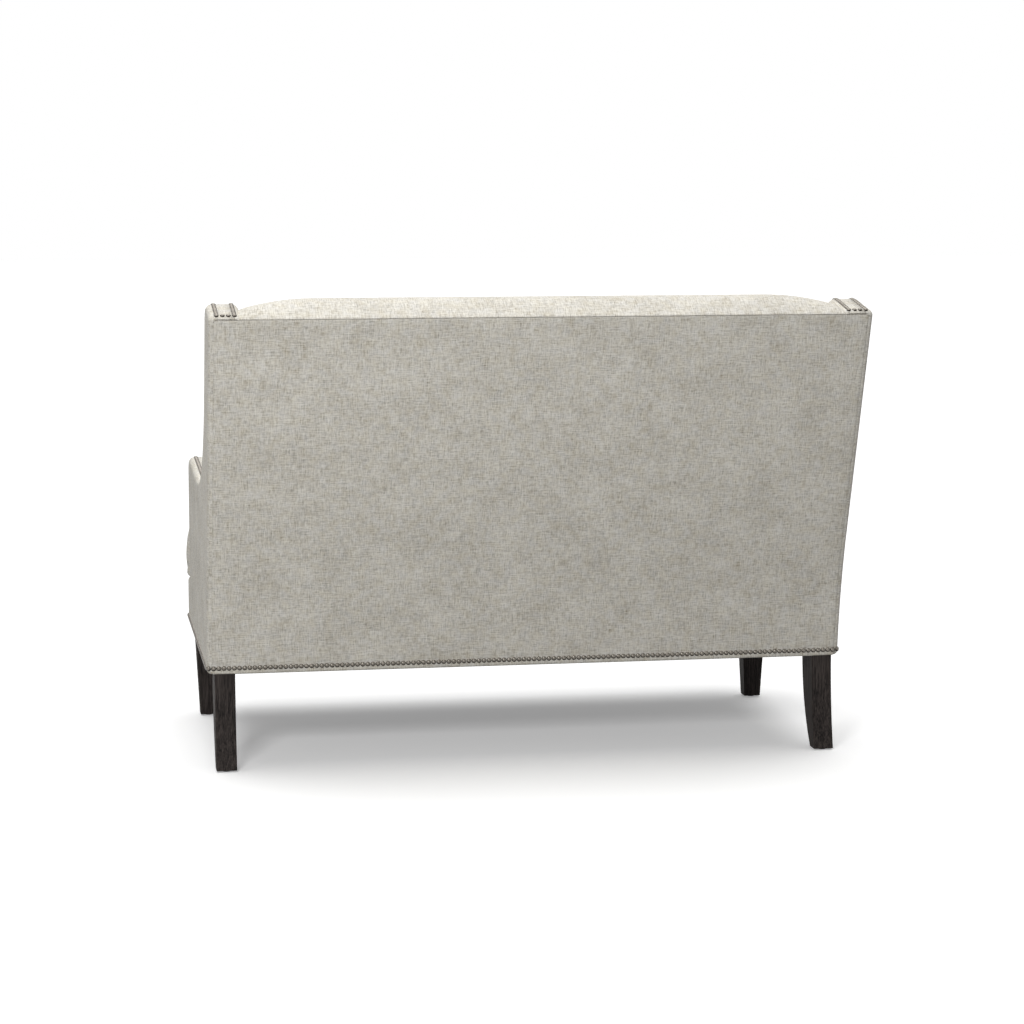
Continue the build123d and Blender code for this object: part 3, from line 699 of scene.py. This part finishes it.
def dark_wood():
    """Espresso-stained beech under a dull coat, grain along Z."""
    wood = Finish("espresso_wood", roughness=0.7, specular=0.12)
    grain = wood.noise((260.0, 260.0, 9.0), detail=5.0, roughness=0.65, distortion=0.4)
    pores = wood.noise((900.0, 900.0, 30.0))
    figure = wood.math("ADD", wood.ranged(grain, 0.3, 0.7), wood.ranged(pores, 0.35, 0.7, 0.0, 0.6))
    wood.colour(wood.mix(wood.ranged(figure, 0.35, 1.35), tone(15, 12, 11), tone(78, 71, 68)))
    wood.rough(wood.ranged(figure, 0.0, 1.6, 0.6, 0.8))
    wood.bump(figure, 0.00015, 0.6)
    return wood.material


def frame_wood():
    """Plain kiln-dried hardwood of the hidden frame."""
    wood = Finish("frame_beech", roughness=0.7, specular=0.3)
    grain = wood.noise((12.0, 60.0, 60.0), detail=5.0, roughness=0.6, distortion=0.6)
    flecks = wood.noise((160.0, 700.0, 700.0), detail=1.0)
    figure = wood.math("ADD", wood.ranged(grain, 0.3, 0.7), wood.ranged(flecks, 0.5, 0.8, 0.0, 0.4))
    wood.colour(wood.mix(wood.ranged(figure, 0.0, 1.3), tone(214, 184, 143), tone(178, 140, 98)))
    wood.bump(figure, 0.0002, 0.5)
    return wood.material


def birch_ply():
    """Birch plywood: pale faces, dark glue lines between the plies."""
    ply = Finish("birch_ply", roughness=0.65, specular=0.3)
    plies = {"Vector": ply.place, "Scale": 110.0, "Distortion": 0.3}
    bands = {"wave_type": "BANDS", "bands_direction": "X", "wave_profile": "SAW"}
    layers = ply.add("TexWave", plies, **bands)
    face = ply.noise((40.0, 18.0, 90.0), detail=4.0, roughness=0.6, distortion=0.5)
    face_tone = ply.mix(ply.ranged(face, 0.3, 0.7), tone(222, 199, 160), tone(199, 168, 122))
    glue = ply.ranged(layers.outputs["Fac"], 0.82, 0.95)
    ply.colour(ply.mix(ply.math("MULTIPLY", glue, 0.55), face_tone, tone(110, 78, 50)))
    ply.bump(face, 0.0002, 0.4)
    return ply.material


def webbing():
    """Woven jute-coloured webbing with a diagonal rib."""
    web = Finish("webbing", roughness=0.85, specular=0.2)
    cross = web.noise((600.0,) * 3, detail=1.0)
    ribs = {"Vector": web.place, "Scale": 160.0}
    bands = {"wave_type": "BANDS", "bands_direction": "DIAGONAL"}
    rib = web.add("TexWave", ribs, **bands).outputs["Fac"]
    jute = web.mix(cross, tone(196, 168, 128), tone(168, 136, 98))
    web.colour(web.mix(rib, tone(150, 118, 84), jute))
    web.bump(rib, 0.0004, 0.7)
    return web.material


def cambric():
    """Black spun dust cloth."""
    cloth = Finish("cambric", roughness=0.95, specular=0.15)
    fibres = cloth.noise((700.0,) * 3, detail=3.0, roughness=0.7)
    clumps = cloth.noise((90.0,) * 3, detail=3.0)
    fleck = cloth.math("ADD", fibres, clumps)
    cloth.colour(cloth.mix(cloth.ranged(fleck, 0.7, 1.3), tone(20, 20, 21), tone(44, 43, 43)))
    cloth.bump(fibres, 0.0002, 0.5)
    return cloth.material


def foam():
    """Open-cell cushion foam."""
    core = Finish("foam", roughness=0.9, specular=0.2)
    grid = {"Vector": core.place, "Scale": 700.0}
    cells = core.add("TexVoronoi", grid).outputs["Distance"]
    core.colour(core.mix(cells, tone(206, 196, 160), tone(238, 231, 205)))
    core.bump(cells, 0.0004, 0.7)
    return core.material


def pewter():
    """Aged pewter nail heads, polished on top, darker round the rim with tarnish and painted shade, and
    with painted shade on the lower side.
    """
    metal = Finish("pewter", roughness=0.34, metallic=1.0)
    age = metal.noise((420.0,) * 3, detail=3.0, roughness=0.6)
    polish = metal.mix(metal.ranged(age, 0.3, 0.7), tone(124, 119, 112), tone(98, 93, 86))
    # darker round the rim (tarnish and painted shade) and on the lower side (painted shade)
    dull_and_shaded = metal.ranged(metal.layer("rim"), RIM_START, RIM_END)
    metal.colour(metal.mix(dull_and_shaded, polish, tone(40, 36, 33)))
    metal.rough(metal.ranged(age, 0.3, 0.7, 0.28, 0.4))
    return metal.material


def bolt_steel():
    """Zinc-plated steel."""
    metal = Finish("bolt_steel", roughness=0.35, metallic=1.0)
    bloom = metal.noise((130.0,) * 3, detail=4.0, roughness=0.6)
    metal.colour(metal.mix(bloom, tone(176, 178, 180), tone(138, 140, 143)))
    metal.rough(metal.ranged(bloom, 0.3, 0.7, 0.28, 0.45))
    return metal.material


def glide_plastic():
    """Moulded black nylon."""
    nylon = Finish("glide_nylon", roughness=0.5, specular=0.4)
    spark = nylon.noise((900.0,) * 3)
    nylon.colour(nylon.mix(spark, tone(14, 14, 14), tone(30, 30, 30)))
    nylon.bump(spark, 0.0001, 0.4)
    return nylon.material


LINEN = linen()
PEWTER = pewter()
CAMBRIC = cambric()
HARDWOOD = frame_wood()
PLYWOOD = birch_ply()
LEG_WOOD = dark_wood()
WEBBING = webbing()
CAD_FINISHES = {
    "front_leg": LEG_WOOD,
    "rear_leg": LEG_WOOD,
    "leg_glides": glide_plastic(),
    "leg_bolts": bolt_steel(),
    "side_panel": PLYWOOD,
    "seat_webbing": WEBBING,
    "back_webbing": WEBBING,
    "seat_cushion_core": foam(),
}


def finish_frame():
    """Give every CAD node that stays its own finish."""
    for name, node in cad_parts.items():
        found = [finish for start, finish in CAD_FINISHES.items() if name.startswith(start)]
        node.data.materials.clear()
        node.data.materials.append(found[0] if found else HARDWOOD)


def dress(piece, material, body=BODY, nodes=()):
    """Finish a piece, let it ride on its body and stand for its CAD nodes."""
    piece.data.materials.clear()
    piece.data.materials.append(material)
    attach(piece, body)
    if nodes:
        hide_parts(*nodes)


# Sides: one rounded slab, parted along the nail rows into its three covers
def side_slab():
    """The upholstered left side, rear and base front set in for the panels sewn over them."""
    amounts = [PANEL_STAND, PANEL_STAND, 0.0, 0.0, 0.0, 0.0, 0.0, PANEL_STAND, -UNDERLAP]
    corners = shifted(SIDE, amounts)
    radii = [CORNER_ROUND, BEND_RADIUS, CORNER_ROUND, WING_RADIUS, SWEEP_RADIUS, ARM_RADIUS, SEAM_RADIUS]
    radii += [CORNER_ROUND, CORNER_ROUND]
    bm = bmesh.new()
    face = bm.faces.new([bm.verts.new((X_IN, p.x, p.y)) for p in rounded(corners, radii)])
    grown = bmesh.ops.extrude_face_region(bm, geom=[face])["geom"]
    outer = [v for v in grown if isinstance(v, bmesh.types.BMVert)]
    bmesh.ops.translate(bm, verts=outer, vec=(X_OUT - X_IN, 0.0, 0.0))
    bmesh.ops.recalc_face_normals(bm, faces=bm.faces)
    rims = [e for e in bm.edges if abs(e.verts[0].co.x - e.verts[1].co.x) < TINY]
    rounding = {"offset": EDGE_ROUND, "offset_type": "OFFSET", "segments": EDGE_STEPS, "profile": 0.5}
    bmesh.ops.bevel(bm, geom=rims, affect="EDGES", material=-1, **rounding)
    for x in (NAIL_INNER_X, NAIL_OUTER_X):
        cut(bm, (x, 0.0, 0.0), (1.0, 0.0, 0.0))
    for up in (SEAM_SHADE[0], -SEAM_STEP, 0.0, SEAM_SHADE[1]):
        cut(bm, (0.0, *at_seam(up, 0.0)), (0.0, *SEAM_UP))
    cut_grid(bm, 1, GRID, Y_FRONT, Y_SEAM)
    cut_grid(bm, 2, GRID, Z_BASE, Z_BASE + BACK_HEIGHT)
    return bm


def roll_over_seam(bm):
    """Bring the edge of the wing out over the top seam, flush with the back panel, and paint shade into
    the seam.
    """
    layer = bm.verts.layers.float.new("painted_shade")
    for v in bm.verts:
        from_seam = v.co.yz - SEAM
        inward = from_seam.dot(SEAM_IN)
        up = from_seam.dot(SEAM_UP)
        under_panel = clamp((X_OUT - EDGE_ROUND - v.co.x) / EDGE_ROUND)
        # painted shade along the top seam, under the back panel
        if -SEAM_STEP - SLACK < up < SLACK and inward < ROLL_REACH:
            v[layer] = under_panel * clamp((v.co.x - X_IN) / EDGE_ROUND)
        if up > -SLACK:
            share = clamp(1 - (inward - PANEL_STAND) / ROLL_REACH)
            v.co.yz -= SEAM_IN * PANEL_STAND * share * under_panel


def soften_side(bm):
    """Let the cloth fall away beyond the nails, and fill the inner face above the seat."""
    edge = border_path()
    line = np.array([tuple(p) for p in edge])
    gone = np.concatenate([[0.0], np.cumsum(np.linalg.norm(line[1:] - line[:-1], axis=1))])
    places = np.array([v.co for v in bm.verts])
    far, along = nearest(edge, places[:, 1:])
    ahead, behind = (
        np.stack([np.interp(along + reach, gone, c) for c in line.T], axis=1)
        for reach in (SEAM_RADIUS, -SEAM_RADIUS)
    )
    run = (ahead - behind) / np.linalg.norm(ahead - behind, axis=1)[:, None]
    outside = clamp((places[:, 0] - NAIL_OUTER_X) / (X_OUT - NAIL_OUTER_X))
    inside = clamp((NAIL_INNER_X - places[:, 0]) / (NAIL_INNER_X - X_IN))
    fall = (EDGE_FALL * outside**2 + INNER_FALL * inside**2) * np.exp(-((far / EDGE_FALL_REACH) ** 2))
    above_seat = places[:, 2] - high("seat_cushion_cover").z
    free = clamp(np.minimum(far, above_seat) / SIDE_FULLNESS_REACH)
    inner = places[:, 0] < X_IN + SLACK
    bulge = SIDE_FULLNESS * np.sin(free * math.pi / 2) * inner
    for v, lowered, direction, filled in zip(bm.verts, fall, run, bulge):
        v.co.y -= direction[1] * lowered
        v.co.z += direction[0] * lowered
        v.co.x -= filled


def part_of_slab(slab, x_from, x_to):
    """Copy of the slab between two planes across X, or on one side of a plane."""
    bm = slab.copy()
    for place, outward in ((x_from, -1.0), (x_to, 1.0)):
        if place is not None:
            cut(bm, (place, 0.0, 0.0), (outward, 0.0, 0.0), clear=True)
    return bm


def build_sides():
    slab = side_slab()
    roll_over_seam(slab)
    soften_side(slab)
    radii = [0.0, BEND_RADIUS, 0.0, WING_RADIUS, SWEEP_RADIUS, ARM_RADIUS, 0.0, 0.0, 0.0, 0.0]
    path = rounded([*SIDE, HEEL], radii, closed=False)
    covers = (
        ("outside_side_cover", NAIL_OUTER_X, None),
        ("side_border", NAIL_INNER_X, NAIL_OUTER_X),
        ("inside_side_pad", None, NAIL_INNER_X),
    )
    for step, (name, x_from, x_to) in enumerate(covers):
        for side, sign in SIDES.items():
            bm = part_of_slab(slab, x_from, x_to)
            if sign < 0:
                bmesh.ops.scale(bm, verts=bm.verts, vec=(-1.0, 1.0, 1.0))
                bmesh.ops.reverse_faces(bm, faces=bm.faces)
            piece = new_piece(f"{name}_{side}_linen", bm)
            weave(piece, side_cloth(path), BOLT_STEP * step + BOLT_SIDE * sign)
            thicken(piece)
            dress(piece, LINEN, nodes=[f"{name}_{side}"])
    slab.free()


# Panels: the outside back and the front border, cloth drawn over a section
def even(path, step):
    """A path with more points on its long stretches."""
    points = [Vector(path[0])]
    for a, b in zip(path, path[1:]):
        count = max(1, math.ceil((b - a).length / step))
        points += [Vector(a).lerp(b, k / count) for k in range(1, count + 1)]
    return points


def path_normals(path):
    """Direction square to a path at each of its points, to the right of its run."""
    found = []
    for k in range(len(path)):
        run = (path[min(k + 1, len(path) - 1)] - path[max(k - 1, 0)]).normalized()
        found.append(Vector((run.y, -run.x)))
    return found


def seam_columns(half_width):
    """X places across a panel, closer together where its edges roll in at the seams."""
    count = round(half_width / GRID)
    inner = [half_width * k / count for k in range(count)]
    edge = [half_width - e for e in SEAM_COLUMNS]
    right = [x for x in inner if x < half_width - SEAM_COLUMN_REACH] + edge
    return [-x for x in reversed(right[1:])] + right


def dip(distance):
    """Depth to which a row of nails draws the cloth in."""
    return NAIL_DIP * math.exp(-((distance / NAIL_DIP_WIDTH) ** 2))


def painted_seam_shade(point):
    """How far a point of the outside back lies in the top seam, from 0 to 1: the share of painted shade
    there.
    """
    if (point - SEAM).length > ROLL_REACH:
        return 0.0
    inward = (point - SEAM).dot(SEAM_IN)
    return clamp((inward - PAINTED_SHADE_START) / (PAINTED_SHADE_END - PAINTED_SHADE_START))


def draped_grid(columns, rows, place):
    """Grid of cloth whose points come from their column and row, with a painted shade value for each."""
    bm = bmesh.new()
    bmesh.ops.create_grid(bm, x_segments=columns - 1, y_segments=rows - 1, size=0.5)
    layer = bm.verts.layers.float.new("painted_shade")
    for v in bm.verts:
        column = round((v.co.x + 0.5) * (columns - 1))
        row = round((v.co.y + 0.5) * (rows - 1))
        v.co, v[layer] = place(column, row)
    bmesh.ops.reverse_faces(bm, faces=bm.faces)
    return bm


def panel(name, path, crown, shift):
    """Cloth over a section from side seam to side seam, drawn in at the seams and at the nails."""
    columns = seam_columns(X_OUT - EDGE_ROUND)
    top = max(p.y for p in path)
    rows = even(path, GRID / 2)
    outward = path_normals(rows)

    def place(column, row):
        x = columns[column]
        y, z = rows[row]
        edge = X_OUT - EDGE_ROUND - abs(x)
        roll = max(0.0, SEAM_RADIUS - edge)
        depth = SEAM_RADIUS - math.sqrt(SEAM_RADIUS**2 - roll**2)
        depth += (PANEL_STAND - PANEL_EDGE) * math.exp(-edge / EDGE_ROUND)
        rise = (z - Z_BASE) / (top - Z_BASE)
        fullness = crown * (1 - (x / X_OUT) ** 2) * math.sin(math.pi * clamp(rise))
        if rise > 0.0:
            depth += dip(z - Z_BASE - NAIL_LIFT)
        move = outward[row] * (fullness - depth)
        # painted shade along the side seams and in the top seam
        side_shade = SIDE_SHADE * math.exp(-edge / SIDE_SHADE_REACH)
        painted_shade = max(painted_seam_shade(rows[row]), side_shade)
        return (x, y + move.x, z + move.y), painted_shade

    piece = new_piece(f"{name}_linen", draped_grid(len(columns), len(rows), place))
    weave(piece, along_section(path), shift)
    thicken(piece)
    dress(piece, LINEN, nodes=[f"{name}_cover"])


def build_panels():
    panel("outside_back", rear_path(), BACK_FULLNESS, BOLT_BACK)
    hem = TOE - Vector((0.0, HEM_DROP))
    under = hem + Vector((TUCK, 0.0))
    over = NOSE + Vector((TUCK, 0.0))
    path = rounded([over, NOSE, hem, under], [0.0, HEM_RADIUS, HEM_RADIUS, 0.0], closed=False)
    panel("front_border", path, FRONT_FULLNESS, BOLT_FRONT)


# Inside back, seat cushion, deck and dust cover
def back_section(drop):
    """Section of the inside back from the top seam to the deck, its crown lowered by a drop."""
    rise = CROWN_RISE - drop
    top = SEAM.y + rise
    middle = Z_BASE + PAD_MID_HEIGHT
    lumbar = low("inside_back_pad").y
    steep = rise / CROWN_RISE
    corners = [
        at_seam(-SEAM_GAP - 2 * FOLD_DROP, FOLD_DEPTH),
        at_seam(0.0, 0.0),
        Vector((SEAM.x - CROWN_SETBACK * steep, top)),
        Vector((SEAM.x + rise * math.tan(UPPER_LEAN) - PAD_DEPTH, top)),
        Vector((SEAM.x - (SEAM.y - middle) * math.tan(UPPER_LEAN) - PAD_DEPTH, middle)),
        Vector((lumbar, Z_BASE + LUMBAR_HEIGHT)),
        Vector((lumbar, Z_DECK)),
    ]
    crown = [CROWN_REAR_ROUND * steep, CROWN_FRONT_ROUND]
    radii = [0.0, LIP_ROUND, *crown, PAD_MID_ROUND, LUMBAR_ROUND, 0.0]
    return rounded(corners, radii, closed=False)


def section_rows(drop):
    """The section as a set number of points: the lip in the seam, then even steps."""
    path = back_section(drop)
    return divided(path[: ARC_MIN + 2], LIP_ROWS) + divided(path[ARC_MIN + 1 :], PAD_ROWS)[1:]


def inside_back():
    """Fixed inside back: rolled over the top rail, down to the wings at its ends, filled in front."""
    half = X_IN + END_TUCK
    columns = seam_columns(half)
    sections = []
    for x in columns:
        share = max(0.0, 1 - (half - abs(x)) / END_ROLL)
        sections.append(section_rows(END_DROP * share**2))
    facing = [path_normals(rows) for rows in sections]

    def place(column, row):
        x = columns[column]
        y, z = sections[column][row]
        roll = max(0.0, SIDE_ROLL - (half - abs(x)))
        on_crown = CROWN_ROLL * clamp((row - LIP_ROWS) / CROWN_ROLL_ROWS)
        rolled = max(on_crown, clamp((row - ROLL_START) / ROLL_ROWS))
        depth = (SIDE_ROLL - math.sqrt(SIDE_ROLL**2 - roll**2)) * rolled
        move = facing[column][row] * -depth
        # painted shade on the first rows of the lip, down in the seam
        painted_shade = clamp((LIP_SHADE_END - row) / LIP_SHADE_FADE)
        return (x, y + move.x, z + move.y), painted_shade

    piece = new_piece("inside_back_linen", draped_grid(len(columns), len(sections[0]), place))
    co = coords(piece.data)
    above_seat = co[:, 2] - high("seat_cushion_cover").z
    below_crown = SEAM.y - co[:, 2]
    aside = X_IN - np.abs(co[:, 0])
    front = np.where(normals(piece.data)[:, 1] < 0.0, 1.0, 0.0)
    clear = np.minimum.reduce([above_seat, below_crown, aside])
    free = clamp(clear / BACK_FILL_REACH) * front
    swell(piece, BACK_PRESSURE, BACK_CAP, 1 - free)
    subdivide(piece)
    weave(piece, along_section(back_section(0.0)), BOLT_INSIDE_BACK)
    thicken(piece)
    dress(piece, LINEN, nodes=["inside_back_pad"])


def cushion_plan(inset=0.0):
    """T-shaped plan of the cushion, as (x, y) all the way round, moved in by an inset."""
    lo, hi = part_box("seat_cushion_cover")
    front = lo.y + inset
    rear = hi.y - inset
    ear = hi.x - inset
    neck = X_IN - CUSHION_SIDE_GAP - inset
    step = Y_ARM - CUSHION_EAR_GAP - inset
    outer = CUSHION_CORNER - inset
    right = [
        (0.0, front + CUSHION_DRAW_IN, CUSHION_DRAW_ROUND * ear**2 / CUSHION_DRAW_IN),
        (ear, front, outer),
        (ear, step, outer),
        (neck, step, CUSHION_NECK_CORNER + inset),
        (neck, rear, outer),
        (0.0, rear - CUSHION_DRAW_IN, CUSHION_DRAW_ROUND * neck**2 / CUSHION_DRAW_IN),
    ]
    left = [(-x, y, r) for x, y, r in reversed(right[1:-1])]
    corners = [Vector((x, y)) for x, y, r in right + left]
    path = rounded(corners, [r for x, y, r in right + left])
    return path + [path[0]]


def outer_shell(bm):
    """Keep the outside skin of a hollow solid."""
    top = max(bm.verts, key=lambda v: v.co.z)
    keep = {top}
    waiting = [top]
    while waiting:
        v = waiting.pop()
        for e in v.link_edges:
            other = e.other_vert(v)
            if other not in keep:
                keep.add(other)
                waiting.append(other)
    bmesh.ops.delete(bm, geom=[v for v in bm.verts if v not in keep], context="VERTS")
    return bm


def cushion_seams(co):
    """Distance of points from the two seams that run round the boxing."""
    floor = low("seat_cushion_cover").z
    gaps = []
    for height, inset in CUSHION_SEAMS:
        aside, _ = nearest(cushion_plan(inset), co[:, :2])
        gaps.append(np.hypot(aside, co[:, 2] - floor - height))
    return np.minimum(*gaps)


def seat_cushion():
    """Loose boxed T-cushion: panels swell between the two seams of the boxing."""
    lo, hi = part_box("seat_cushion_cover")
    piece = new_piece("seat_cushion_linen", outer_shell(copy_of("seat_cushion_cover")))
    remesh(piece, CUSHION_VOXEL)
    relax(piece, CUSHION_RELAX)
    co = coords(piece.data)
    gap = cushion_seams(co)
    remember(piece, "seam", gap)
    held = clamp(SEAM_HOLD - gap / SEAM_HOLD_REACH)
    held[co[:, 2] < lo.z + CUSHION_FLAT] = 1.0
    shrink(piece, CUSHION_SWELL * (1 - held))
    swell(piece, CUSHION_PRESSURE, CUSHION_CAP, held)
    subdivide(piece)
    co = coords(piece.data)
    groove = SEAM_DEPTH * np.exp(-((recall(piece, "seam") / SEAM_WIDTH) ** 2))
    co -= normals(piece.data) * groove[:, None]
    ear = clamp((np.abs(co[:, 0]) - X_IN) / (hi.x - X_IN))
    height = clamp((co[:, 2] - lo.z) / (hi.z - lo.z))
    belly = np.sin(np.pi * np.sqrt(CUSHION_SAG + (1 - CUSHION_SAG) * height))
    co[:, 0] += np.sign(co[:, 0]) * CUSHION_EAR_FILL * ear * belly
    beside_arm = co[:, 1] > Y_ARM - CUSHION_EAR_GAP
    room = np.where(beside_arm, X_IN - CUSHION_CLEAR, hi.x + CUSHION_EAR_FILL)
    co[:, 0] = np.clip(co[:, 0], -room, room)
    co[:, 1] = np.minimum(co[:, 1], low("inside_back_pad").y - CUSHION_CLEAR)
    co[:, 2] = np.maximum(co[:, 2], lo.z)
    set_coords(piece.data, co)
    weave(piece, boxed_cloth(cushion_plan()), BOLT_CUSHION)
    dress(piece, LINEN, CUSHION, ["seat_cushion_cover", "seat_cushion_core"])


def seat_deck():
    """Padded deck under the cushion."""
    piece = new_piece("seat_deck_linen", copy_of("seat_deck"))
    remesh(piece, DECK_VOXEL)
    relax(piece, DECK_RELAX)
    weave(piece, boxed_cloth(cushion_plan()), BOLT_DECK)
    dress(piece, LINEN, nodes=["seat_deck"])


def dust_cover():
    """Black cloth stretched under the frame, with a slight sag."""
    lo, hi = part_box("dust_cover")
    bm = copy_of("dust_cover")
    upper = [f for f in bm.faces if f.normal.z > DUST_UNDERSIDE]
    bmesh.ops.delete(bm, geom=upper, context="FACES")
    bmesh.ops.dissolve_limit(bm, angle_limit=DUST_FLAT, verts=bm.verts, edges=bm.edges)
    cut_grid(bm, 0, DUST_GRID, lo.x, hi.x)
    cut_grid(bm, 1, DUST_GRID, lo.y, hi.y)
    area = sum(f.calc_area() for f in bm.faces)
    middle = (lo + hi) / 2
    half = (hi - lo) / 2
    for v in bm.verts:
        across = 1 - ((v.co.x - middle.x) / half.x) ** 2
        along = 1 - ((v.co.y - middle.y) / half.y) ** 2
        v.co.z -= DUST_SAG * across * along
    piece = new_piece("dust_cover_cambric", bm)
    dress(piece, CAMBRIC, nodes=["dust_cover"])


# Nail heads
def nail_shape():
    """A domed head with a thin rim, as a mesh to repeat."""
    bm = bmesh.new()
    bmesh.ops.create_uvsphere(bm, u_segments=10, v_segments=6, radius=NAIL_RADIUS)
    cut(bm, (0.0, 0.0, 0.0), (0.0, 0.0, -1.0), clear=True)
    bmesh.ops.scale(bm, verts=bm.verts, vec=(1.0, 1.0, NAIL_DOME / NAIL_RADIUS))
    rim = [e for e in bm.edges if e.is_boundary]
    grown = bmesh.ops.extrude_edge_only(bm, edges=rim)["geom"]
    skirt = [v for v in grown if isinstance(v, bmesh.types.BMVert)]
    bmesh.ops.translate(bm, verts=skirt, vec=(0.0, 0.0, -NAIL_SKIRT))
    bmesh.ops.contextual_create(bm, geom=[e for e in bm.edges if e.is_boundary])
    bmesh.ops.recalc_face_normals(bm, faces=bm.faces)
    mesh = bpy.data.meshes.new("nail")
    bm.to_mesh(mesh)
    bm.free()
    return mesh


def nails(name, places):
    """One piece of nail heads, from places and the directions that they face."""
    shape = nail_shape()
    bm = bmesh.new()
    rim = bm.verts.layers.float.new("rim")
    for k, (place, facing) in enumerate(places):
        count = len(bm.verts)
        bm.from_mesh(shape)
        bm.verts.ensure_lookup_table()
        heights = [v.co.z for v in bm.verts[count:]]
        lean = NAIL_TILT * math.sin(NAIL_TILT_TURN * k)
        tilt = Matrix.Rotation(lean, 4, Vector((math.cos(k), math.sin(k), 0.0)))
        turn = facing.to_track_quat("Z", "Y").to_matrix().to_4x4()
        spin = Matrix.Rotation(NAIL_SPIN * k, 4, "Z")
        matrix = Matrix.Translation(place) @ turn @ tilt @ spin
        bmesh.ops.transform(bm, matrix=matrix, verts=bm.verts[count:])
        for v, height in zip(bm.verts[count:], heights):
            underside = (place.z - v.co.z) / NAIL_RADIUS
            # darker towards the rim, tarnish and painted shade; darker on the lower side, painted shade
            v[rim] = RIM_TARNISH_AND_SHADE * (1 - height / NAIL_DOME) + UNDERSIDE_SHADE * underside
    piece = new_piece(f"nail_heads_{name}", bm)
    dress(piece, PEWTER, nodes=[f"nail_trim_{name}"])


def pitched(first, last):
    """Places of nails from the first to the last, at an even pitch."""
    count = round((last - first) / NAIL_PITCH)
    return [first + (last - first) * k / count for k in range(count + 1)]


def base_nails():
    """Rows of nails round the base, with one nail on each rounded corner."""
    z = Z_BASE + NAIL_LIFT
    y_rear = HEEL.x + NAIL_LIFT * math.tan(LOWER_LEAN)
    rear_facing = Vector((0.0, math.cos(LOWER_LEAN), -math.sin(LOWER_LEAN)))
    inset = EDGE_ROUND * (1 - math.sqrt(0.5))
    across = pitched(inset - X_OUT, X_OUT - inset)
    ends = (("rear", y_rear, rear_facing), ("front", Y_FRONT, Vector((0.0, -1.0, 0.0))))
    for name, y, facing in ends:
        row = [(Vector((x, y, z)) - facing * NAIL_DIP, facing) for x in across[1:-1]]
        for x in (across[0], across[-1]):
            corner = (facing + Vector((math.copysign(1.0, x), 0.0, 0.0))).normalized()
            row.append((Vector((x, y, z)) - facing * inset, corner))
        nails(f"base_{name}", row)
    along = pitched(Y_FRONT + NAIL_PITCH, y_rear - NAIL_PITCH)
    for side, sign in SIDES.items():
        out = Vector((sign, 0.0, 0.0))
        nails(f"base_{side}", [(Vector((sign * X_OUT, y, z)), out) for y in along])


def border_nails():
    """Two rows along each border, joined by a short row at the top seam."""
    border = spaced(border_path(), NAIL_PITCH, NAIL_CROSS, NAIL_RADIUS)
    cross = pitched(NAIL_INNER_X, NAIL_OUTER_X)[1:-1]
    for side, sign in SIDES.items():
        row = []
        for k, (place, run) in enumerate(border):
            up = Vector((0.0, run.y, -run.x))
            for x in [NAIL_OUTER_X, NAIL_INNER_X] + (cross if k == 0 else []):
                row.append((Vector((sign * x, place.x, place.y)) - up * NAIL_DIP, up))
        nails(f"border_{side}", row)


# Stage, light and camera
def build_stage():
    """Pale floor that keeps the shadow and fades to the white background."""
    bm = bmesh.new()
    bmesh.ops.create_grid(bm, x_segments=8, y_segments=8, size=FLOOR_HALF)
    floor = new_piece("floor", bm)
    paper = Finish("floor_paper", roughness=1.0, specular=0.0)
    seen = paper.seen()
    paper.colour(paper.mix(seen, grey(FLOOR_BOUNCE), grey(FLOOR_TONE)))
    lift = paper.add("Emission", {"Strength": paper.math("MULTIPLY", seen, FLOOR_LIFT)})
    shaders = {0: paper.shader.outputs["BSDF"], 1: lift.outputs["Emission"]}
    both = paper.add("AddShader", shaders)
    paper.fill(paper.tree.nodes["Material Output"], {"Surface": both.outputs["Shader"]})
    floor.data.materials.append(paper.material)


def build_world():
    """White background, and a weaker ambient light from it."""
    world = bpy.data.worlds.new("studio")
    bpy.context.scene.world = world
    world.use_nodes = True
    studio = Nodes(world.node_tree)
    ambient = studio.tree.nodes["Background"]
    studio.fill(ambient, {"Color": grey(1.0), "Strength": AMBIENT})
    white = studio.add("Background", {"Color": grey(1.0)})
    shaders = {0: studio.seen(), 1: ambient.outputs["Background"], 2: white.outputs["Background"]}
    choose = studio.add("MixShader", shaders)
    studio.fill(studio.tree.nodes["World Output"], {"Surface": choose.outputs["Shader"]})


def turned_to(direction):
    """Rotation of a light or camera that points along a direction."""
    return direction.to_track_quat("-Z", "Y").to_euler()


def build_light():
    """Soft light from above and from the photographer's side."""
    sun = bpy.data.lights.new("overhead", "SUN")
    sun.energy = OVERHEAD_STRENGTH
    sun.angle = OVERHEAD_SPREAD
    overhead = in_scene("overhead", sun)
    overhead.rotation_euler = (OVERHEAD_TILT, 0.0, 0.0)
    lamp = bpy.data.lights.new("softbox", "AREA")
    lamp.shape = "RECTANGLE"
    lamp.size, lamp.size_y = SOFTBOX_SIZE
    lamp.energy = SOFTBOX_POWER
    softbox = in_scene("softbox", lamp)
    softbox.location = SOFTBOX_PLACE
    softbox.rotation_euler = turned_to(Vector(SOFTBOX_AIM) - Vector(SOFTBOX_PLACE))


def build_camera():
    lens = bpy.data.cameras.new("camera")
    lens.lens = CAMERA_LENS
    lens.sensor_width = CAMERA_SENSOR
    camera = in_scene("camera", lens)
    camera.location = CAMERA_PLACE
    level = math.cos(CAMERA_PITCH)
    across = -math.sin(CAMERA_YAW) * level
    along = -math.cos(CAMERA_YAW) * level
    camera.rotation_euler = turned_to(Vector((across, along, -math.sin(CAMERA_PITCH))))
    bpy.context.scene.camera = camera


finish_frame()
build_sides()
build_panels()
inside_back()
seat_cushion()
seat_deck()
dust_cover()
base_nails()
border_nails()
build_stage()
build_world()
build_light()
build_camera()
bpy.context.scene.view_settings.view_transform = "Standard"
